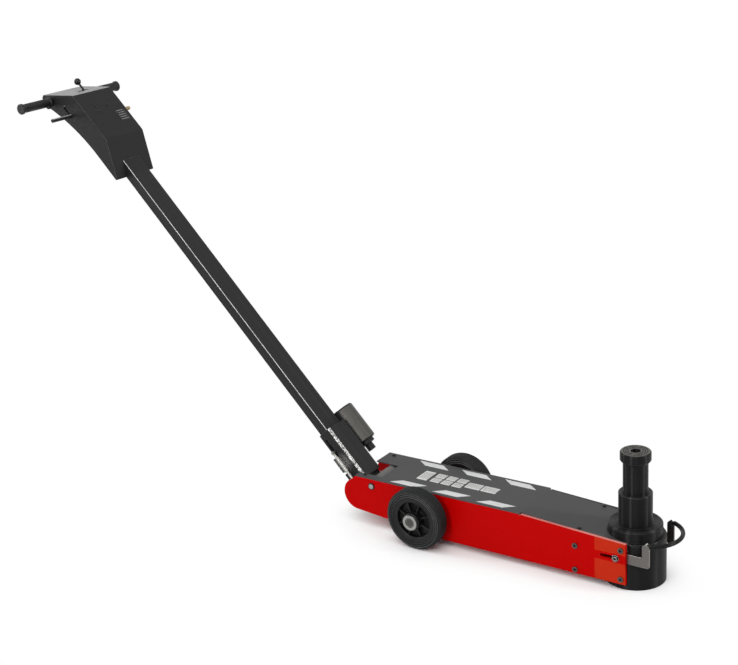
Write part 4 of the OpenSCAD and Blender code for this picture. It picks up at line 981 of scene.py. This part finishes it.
class JACK_OT_chassis(bpy.types.Operator):
    """Paints the side plates, floor and inner parts, and sets their screws and welds"""

    bl_idname = "jack.chassis"
    bl_label = "Chassis"

    def execute(self, context):
        dress("side_plate_right", "side_plate_left", "front_block", "bottom_plate", "rear_floor",
              "cross_bar", "cross_bar_rings", "oil_tank", "valve_block", "pressure_pipe", "index_plate",
              "pivot_lug", "pivot_pin")
        heads = screws(side_seats("side_screws", SIDE_FACE), radius=0.007, height=0.0035,
                       socket=0.0034, shank=(0.004, 0.026))
        piece("side_screws_fitted", heads, "chassis", slot_of("side_screws"),
              stands_for=["side_screws"])
        lift, behind, before = 0.0006, 0.008, 0.026
        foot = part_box("rear_floor")[1].z + lift
        beads = []
        for node in ("index_plate", "pivot_lug"):
            low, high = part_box(node)
            x = middle(node).x
            beads += [weld((x - behind, y, foot), (x + before, y, foot)) for y in (low.y, high.y)]
        piece("pivot_welds", joined(*beads), "chassis", "black_paint")
        return {"FINISHED"}


class JACK_OT_cover(bpy.types.Operator):
    """Coats the top cover and adds its screws, reflective strips and blank panels"""

    bl_idname = "jack.cover"
    bl_label = "Cover"

    def execute(self, context):
        dress("top_cover")
        trim = context.scene.jack_trim
        low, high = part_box("top_cover")
        head, seats = 0.0038, []
        for screw_low, screw_high in solids("cover_screws"):
            place = (screw_low + screw_high) / 2
            seats.append(((place.x, place.y, screw_high.z - head), (0, 0, 1)))
        heads = screws(seats, radius=0.005, height=head, socket=0.0018, shank=(0.0025, 0.012),
                       domed=True)
        piece("cover_screws_fitted", heads, "chassis", slot_of("cover_screws"),
              stands_for=["cover_screws"])
        strip_inset, first_strip, foil_bevel = 0.0085, 0.102, 0.0001
        edge = high.y - strip_inset
        for name, side in (("right", -1), ("left", 1)):
            outer, inner = side * edge, side * (edge - trim.strip_width)
            corner = [(0, outer), (trim.strip_length, outer),
                      (trim.strip_length + trim.strip_slant, inner), (trim.strip_slant, inner)]
            strip = shape_of(plate(corner[::-side], trim.mark_thickness, foil_bevel))
            row = RECIPES["row"].mesh(shape=strip, count=3, pitch=(trim.strip_pitch, 0, 0))
            piece(f"reflective_strips_{name}", row, "chassis", "reflector",
                  Matrix.Translation((low.x + first_strip, 0, high.z)))
        panels = [moved(ruled_plate(width, depth), Matrix.Translation((x, y, high.z)))
                  for width, depth, xs, ys in COVER_PANELS for x in xs for y in ys]
        piece("cover_panels", joined(*panels), "chassis", "panel_foil")
        return {"FINISHED"}


# Width and depth of the cover's blank panels, and the X and Y of their centres
COVER_PANELS = (
    (0.030, 0.052, (-0.583,), (0,)),
    (0.027, 0.023, (-0.545, -0.513, -0.481), (-0.0135, 0.0135)),
    (0.043, 0.030, (-0.440, -0.394), (0,)),
)


def ruled_plate(width, depth):
    """Thin plate with the coordinates of its ruled lines."""
    trim = bpy.context.scene.jack_trim
    corner, bevel = 0.002, 0.0001
    mesh = plate(rounded_rectangle(width, depth, corner), trim.mark_thickness, bevel)
    uv = mesh.uv_layers.new(name="panel")
    for loop in mesh.loops:
        point = mesh.vertices[loop.vertex_index].co
        uv.data[loop.index].uv = (point.x + width / 2, point.y / depth + 0.5)
    return mesh


class JACK_OT_wheels(bpy.types.Operator):
    """Builds the tyres and the ribbed wheel centres on their plated axle"""

    bl_idname = "jack.wheels"
    bl_label = "Wheels"

    def execute(self, context):
        dress("wheel_axle", "axle_spacers", "axle_cups", "retaining_clips", "bush_right", "bush_left")
        sizes = context.scene.jack_wheels
        axle = middle("wheel_axle")
        for side, outward in (("right", -1), ("left", 1)):
            low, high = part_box("tyre_" + side)
            inner = min(abs(low.y), abs(high.y))
            radius, width = (high.z - low.z) / 2, high.y - low.y
            place = across(Vector((axle.x, outward * inner, axle.z)), outward)
            tyre = turned(tyre_profile(radius, width, sizes), 160)
            piece(f"tyre_{side}_moulded", tyre, f"wheel_{side}", "tyre_rubber", place,
                  ["tyre_" + side], 24)
            hub_low, hub_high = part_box("rim_" + side)
            hub_top = max(abs(hub_low.y), abs(hub_high.y)) - inner
            piece(f"rim_{side}_moulded", wheel_centre(width, hub_top, sizes), f"wheel_{side}",
                  "black_plastic", place, ["rim_" + side])
        return {"FINISHED"}


def tyre_profile(radius, width, sizes):
    """Section of a tyre, from its bead over the grooved side, the shoulder and the tread."""
    bead = rim_radius() + 0.00005
    corner, floor = radius - sizes.shoulder, width - sizes.groove
    half_top, half_floor = 0.0014, 0.0006
    side = [(bead, width)]
    for ring in (bead + 0.0042, bead + 0.0092, corner + 0.0006):
        side += [(ring - half_top, width), (ring - half_floor, floor),
                 (ring + half_floor, floor), (ring + half_top, width)]
    side += arc((corner, width - sizes.shoulder), sizes.shoulder, 90, 0, 10)
    line_pitch, line_half, line_depth = 0.0062, 0.0007, 0.0008
    tread = []
    for line in range(sizes.tread_lines):
        z = width / 2 + (0.5 * (sizes.tread_lines - 1) - line) * line_pitch
        tread += [(radius, z + line_half), (radius - line_depth, z), (radius, z - line_half)]
    return side + tread + [(r, width - z) for r, z in side[::-1]]


def rim_radius():
    """Radius at which a wheel centre meets its tyre."""
    low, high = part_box("rim_right")
    return (high.z - low.z) / 2


def wheel_centre(width, hub_top, sizes):
    """Wheel centre: bead ring with its lips, dished web, hub and round-edged ribs."""
    rim, dish, hub, bore = rim_radius(), 0.046, 0.023, 0.0141
    low, high = width * 0.42, width * 0.58
    back, front = 0.0006, width - 0.0006
    section = [(bore, 0), (hub, 0), (hub + 0.001, low - 0.001), (hub + 0.002, low), (dish - 0.002, low),
               (dish, low - 0.002), (dish + 0.0012, back + 0.002), (dish + 0.0022, back + 0.001),
               (rim - 0.0035, back + 0.001), (rim - 0.003, back), (rim, back), (rim, front),
               (rim - 0.003, front), (rim - 0.0035, front - 0.001), (dish + 0.0034, front - 0.001),
               (dish + 0.0022, front - 0.0018), (dish + 0.0012, front - 0.003), (dish, high + 0.002),
               (dish - 0.002, high), (hub + 0.002, high), (hub + 0.001, high + 0.001), (hub, width),
               (hub - 0.0002, hub_top - 0.0012), (hub - 0.0014, hub_top), (bore, hub_top)]
    rib = [(hub - 0.001, 0.004), (dish + 0.0018, 0.006), (dish + 0.0018, width - 0.006),
           (hub - 0.001, width - 0.0028)]
    thick = sizes.rib_thickness
    # The ribs stand upright and start half a step round
    place = (Matrix.Rotation(math.pi / sizes.ribs, 4, "Z") @ Matrix.Rotation(math.pi / 2, 4, "X")
             @ Matrix.Translation((0, 0, -thick / 2)))
    blade = moved(plate(rib, thick, thick * 0.3, both=True), place)
    ribs = RECIPES["round_the_axis"].mesh(shape=shape_of(blade), count=sizes.ribs)
    return joined(turned(section, 128), ribs)


class JACK_OT_cylinder(bpy.types.Operator):
    """Finishes the lifting cylinder, its two rams and the saddle"""

    bl_idname = "jack.cylinder"
    bl_label = "Lifting Cylinder"

    def execute(self, context):
        dress("cylinder_body", "gland_nut", "gland_wiper", "ram_1", "ram_1_gland", "ram_2", "saddle")
        return {"FINISHED"}


class JACK_OT_carry_handle(bpy.types.Operator):
    """Finishes the sliding carry handle, its bolts and its welds"""

    bl_idname = "jack.carry_handle"
    bl_label = "Carry Handle"

    def execute(self, context):
        dress("carry_bars", "carry_grip", "slot_washers")
        head = 0.004
        seats = side_seats("slot_bolts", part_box("slot_bolts")[1].y - head)
        heads = screws(seats, radius=0.0065, height=head, socket=0.0034, shank=(0.004, 0.0135))
        piece("slot_bolts_fitted", heads, "carry_handle", slot_of("slot_bolts"),
              stands_for=["slot_bolts"])
        low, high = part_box("carry_grip")
        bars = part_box("carry_bars")[1]
        bar_thickness, bar_lift, grip_inset, grip_lift = 0.004, 0.0004, 0.005, 0.0007
        round_grip = arc((bars.x - grip_inset, (low.z + high.z) / 2),
                         (high.z - low.z) / 2 + grip_lift, start=105, stop=255)
        inner = bars.y - bar_thickness - bar_lift
        beads = [weld(*[(x, side * inner, z) for x, z in round_grip]) for side in (-1, 1)]
        piece("carry_welds", joined(*beads), "carry_handle", "black_paint")
        return {"FINISHED"}


class JACK_OT_handle(bpy.types.Operator):
    """Finishes the handle's tube, sleeve, lock plunger and air motor, and adds the spring and welds"""

    bl_idname = "jack.handle"
    bl_label = "Handle"

    def execute(self, context):
        dress("handle_sleeve", "sleeve_bushes", "handle_tube", "plunger_barrel", "plunger_bracket",
              "air_motor_barrel", "air_motor_cap", "air_motor_base", "air_motor_bracket", "air_tube",
              "plunger_rod", "release_rod")
        low, high = handle_box("plunger_spring")
        wire = 0.0009
        coil = RECIPES["coil"].mesh(radius=(high.x - low.x - wire) / 2, height=high.z - low.z - wire,
                                    turns=9.0, wire=wire)
        foot = Matrix.Translation(((low.x + high.x) / 2, (low.y + high.y) / 2, low.z + wire / 2))
        piece("plunger_spring_wound", coil, "handle", slot_of("plunger_spring"), HANDLE @ foot,
              ["plunger_spring"])
        tube_low, tube_high = handle_box("handle_tube")
        sleeve = handle_box("handle_sleeve")[1]
        arm = handle_box("air_motor_bracket")[0]
        inset, tube_lift, arm_lift = 0.002, 0.0008, 0.0004
        beads = [weld((tube_low.x + inset, y, sleeve.z), (tube_high.x - inset, y, sleeve.z))
                 for y in (tube_low.y - tube_lift, tube_high.y + tube_lift)]
        cheek = sleeve.y + arm_lift
        beads.append(weld((arm.x, cheek, arm.z + 0.003), (arm.x, cheek, sleeve.z - inset)))
        piece("handle_welds", moved(joined(*beads), HANDLE), "handle", "black_paint")
        return {"FINISHED"}


class JACK_OT_control_head(bpy.types.Operator):
    """Finishes the control head and builds its grips, screws, label and slot shield"""

    bl_idname = "jack.control_head"
    bl_label = "Control Head"

    def execute(self, context):
        dress("head_housing", "head_bulkhead", "handlebar", "control_valve", "air_inlet", "release_bar",
              "control_lever", "lever_knob")
        head, seats = 0.0019, []
        for low, high in solids("head_screws", UNHANDLE):
            place = (low + high) / 2
            seats.append((HANDLE @ Vector((high.x - head, place.y, place.z)), HANDLE_OUT))
        heads = screws(seats, radius=0.0042, height=head, socket=0.0014, shank=(0.0025, 0.012),
                       domed=True)
        piece("head_screws_fitted", heads, "handle", slot_of("head_screws"),
              stands_for=["head_screws"])
        moulded = [grip(low, high) for low, high in solids("grips", UNHANDLE)]
        piece("grips_moulded", joined(*moulded), "handle", "soft_rubber", stands_for=["grips"],
              crease=40)
        label = ruled_plate(width=0.036, depth=0.038)
        piece("head_label", label, "handle", "head_foil", on_head(along=1.220, across_y=0.022))
        # The shield closes the view through the release bar's slot, from inside the head's wall
        bar_low, bar_high = handle_box("release_bar")
        inside_wall = 0.0038
        centre = (bar_low + bar_high) / 2
        centre.y = handle_box("head_housing")[0].y + inside_wall
        shield = plate(rounded_rectangle(width=0.018, height=0.071, radius=0.008),
                       thickness=0.0014, bevel=0.0003, both=True)
        piece("release_slot_shield", shield, "release", "soft_rubber", HANDLE @ across(centre, 1))
        return {"FINISHED"}


def on_head(along, across_y):
    """Placement on the control head's front face, X along the handle and Z out of the face."""
    start = HANDLE @ Vector((0.3, across_y, along))
    point, normal = touch("head_housing", start, -HANDLE_OUT)
    side = Vector((0, 1, 0))
    turn = Matrix((side.cross(normal), side, normal)).transposed().to_4x4()
    return Matrix.Translation(point) @ turn


def grip(low, high):
    """Ribbed grip in the handle's frame, closed at its outer end, with a finger stop below."""
    trim = bpy.context.scene.jack_trim
    centre = (low + high) / 2
    outward = math.copysign(1, centre.y - middle("handle_tube").y)
    reach, flange = high.y - low.y, (high.x - low.x) / 2
    body, bore = flange - 0.0024, 0.0081
    section = [(bore, 0), (flange - 0.0015, 0), (flange - 0.0005, 0.001), (flange - 0.0005, 0.005),
               (flange - 0.0015, 0.006), (body - 0.0003, 0.007), (body - 0.0007, reach * 0.3),
               (body, reach * 0.62), (body - 0.0006, reach * 0.9), (flange - 0.001, reach - 0.007),
               (flange, reach - 0.006), (flange, reach - 0.001), (flange - 0.001, reach),
               (FINE_BORE, reach), (FINE_BORE, reach - 0.0024), (bore, reach - 0.0026)]
    rib = plate(rounded_rectangle(width=0.0011, height=reach * 0.74, radius=0.0005),
                thickness=0.0009, bevel=0.0003)
    quarter = math.radians(90)
    rib.transform(Matrix.Translation((body - 0.0009, 0, reach * 0.49))
                  @ Matrix.Rotation(quarter, 4, "Y") @ Matrix.Rotation(quarter, 4, "Z"))
    ribs = RECIPES["round_the_axis"].mesh(shape=shape_of(rib), count=trim.grip_ribs)
    start = Vector((centre.x, low.y if outward > 0 else high.y, centre.z))
    sleeve = moved(joined(turned(section, 72), ribs), across(start, outward))
    stop = bmesh.new()
    bmesh.ops.create_uvsphere(stop, u_segments=20, v_segments=10, radius=1)
    stop_size, stop_place = (0.0045, 0.0085, 0.0055), (0.001, outward * 0.016, -flange * 1.05)
    nub = moved(mesh_of(stop, "finger_stop"),
                Matrix.Translation(start + Vector(stop_place)) @ Matrix.Diagonal((*stop_size, 1)))
    return moved(joined(sleeve, nub), HANDLE)


# The lamps: name, azimuth, height above the horizon, distance, width and height, power
LAMPS = (
    ("top", 20, 66, 3.2, (2.6, 2.6), 34),
    ("side", 0, 24, 3.4, (0.22, 2.2), 46),
    ("front", 104, 24, 3.2, (0.14, 2.2), 36),
    ("edge", 34, 40, 4.2, (0.4, 0.4), 10),
    ("rear", -72, 22, 3.2, (0.2, 2.2), 22),
)


class JACK_OT_stage(bpy.types.Operator):
    """Sets up the pale floor, the soft lamps and the camera"""

    bl_idname = "jack.stage"
    bl_label = "Stage"

    def execute(self, context):
        studio = context.scene.jack_studio
        reach, thickness, gap = 30, 0.01, 0.0002
        slab = plate([(-reach, -reach), (reach, -reach), (reach, reach), (-reach, reach)], thickness)
        slab.transform(Matrix.Translation((0, 0, -thickness - gap)))
        slab.materials.append(floor_finish(studio))
        linked("floor", slab)
        backdrop(studio)
        aim = Vector((-0.5, 0, 0.4))
        for name, azimuth, height, away, size, power in LAMPS:
            back = direction(math.radians(azimuth), math.radians(height))
            softbox(name, aim, back, away, size, power * studio.light)
        lens = bpy.data.cameras.new("camera")
        lens.lens = studio.focal
        lens.sensor_width, lens.sensor_fit = 36.0, "HORIZONTAL"
        lens.clip_start, lens.clip_end = 0.05, 100
        camera = linked("camera", lens)
        camera.matrix_world = (facing_back(studio.place, direction(studio.azimuth, studio.elevation))
                               @ Matrix.Rotation(studio.roll, 4, "Z"))
        context.scene.camera = camera
        context.scene.view_settings.view_transform = "Standard"
        return {"FINISHED"}


def direction(azimuth, elevation):
    """Unit vector toward that azimuth and elevation. Azimuth 0 is -Y, and 90 degrees is +X."""
    return Vector((math.sin(azimuth) * math.cos(elevation), -math.cos(azimuth) * math.cos(elevation),
                   math.sin(elevation)))


def facing_back(place, back):
    """Placement whose Z points along back, as a camera's or a lamp's does."""
    return Matrix.Translation(place) @ back.to_track_quat("Z", "Y").to_matrix().to_4x4()


def softbox(name, aim, back, away, size, power):
    """Rectangular lamp that shines at aim from the direction back."""
    lamp = bpy.data.lights.new(name, "AREA")
    lamp.shape = "RECTANGLE"
    lamp.size, lamp.size_y = size
    lamp.energy = power
    linked(name, lamp).matrix_world = facing_back(aim + back * away, back)


def seen(nodes):
    """1 for rays of the camera, of reflections and of clear pieces."""
    rays = nodes.add("ShaderNodeLightPath")
    return (rays["Is Camera Ray"] + rays["Is Glossy Ray"] + rays["Is Transmission Ray"]) > 0.5


def floor_finish(studio):
    """Pale floor that shows white to the camera and keeps the soft shadow under the jack."""
    floor = Finish("floor")
    grain = floor.noise(0.004, 2)
    shade = floor.mix(grain * 0.02, studio.floor_colour, toned(studio.floor_colour, 0.97))
    lit = floor.add("ShaderNodeBsdfPrincipled", {}, {"Base Color": shade, "Roughness": 0.9,
                                                     "Specular IOR Level": 0.0})
    white = floor.add("ShaderNodeEmission", {}, {"Color": (1, 1, 1, 1), "Strength": 1.0})
    shadow_reach = 0.16
    open_sky = floor.add("ShaderNodeAmbientOcclusion", {"samples": 16}, {"Distance": shadow_reach}, "AO")
    shown = seen(floor) * open_sky.rise(0.3, 0.9)
    mixed = floor.add("ShaderNodeMixShader", {}, {0: shown, 1: lit, 2: white})
    floor.add("ShaderNodeOutputMaterial", {}, {"Surface": mixed})
    return floor.material


def backdrop(studio):
    """White surroundings for the camera, and a plain softer level as light."""
    world = bpy.data.worlds.new("surroundings")
    world.use_nodes = True
    nodes = Nodes(world.node_tree)
    level = 0.26 * studio.light
    soft, white = (nodes.add("ShaderNodeBackground", {}, {"Color": (1, 1, 1, 1), "Strength": strength})
                   for strength in (level, 1.0))
    mixed = nodes.add("ShaderNodeMixShader", {}, {0: seen(nodes), 1: soft, 2: white})
    nodes.add("ShaderNodeOutputWorld", {}, {"Surface": mixed})
    bpy.context.scene.world = world


OPERATORS = (JACK_OT_stage, JACK_OT_chassis, JACK_OT_cover, JACK_OT_wheels, JACK_OT_cylinder,
             JACK_OT_carry_handle, JACK_OT_handle, JACK_OT_control_head)
GROUPS = {"jack_colours": JackColours, "jack_wheels": JackWheels, "jack_trim": JackTrim,
          "jack_studio": JackStudio}


class JACK_PT_sidebar(bpy.types.Panel):
    """Sidebar panel with the jack's sizes and the buttons that build it"""

    bl_idname = "JACK_PT_sidebar"
    bl_label = "Trolley Jack"
    bl_space_type = "VIEW_3D"
    bl_region_type = "UI"
    bl_category = "Jack"

    def draw(self, context):
        for name, group in GROUPS.items():
            column = self.layout.box().column()
            for size in group.__annotations__:
                column.prop(getattr(context.scene, name), size)
        column = self.layout.column()
        for operator in OPERATORS:
            column.operator(operator.bl_idname)


def register():
    for group in (*GROUPS.values(), *OPERATORS, JACK_PT_sidebar):
        bpy.utils.register_class(group)
    for name, group in GROUPS.items():
        setattr(bpy.types.Scene, name, PointerProperty(type=group))


def unregister():
    for name in GROUPS:
        delattr(bpy.types.Scene, name)
    for group in (JACK_PT_sidebar, *OPERATORS[::-1], *GROUPS.values()):
        bpy.utils.unregister_class(group)


def main():
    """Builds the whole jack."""
    register()
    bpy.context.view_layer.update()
    for maker in (turned_recipe, round_recipe, row_recipe, seat_recipe, weld_recipe, coil_recipe):
        recipe = maker()
        RECIPES[recipe.tree.name] = recipe
    for operator in OPERATORS:
        getattr(bpy.ops.jack, operator.bl_idname.removeprefix("jack."))()


if __name__ == "__main__":
    main()
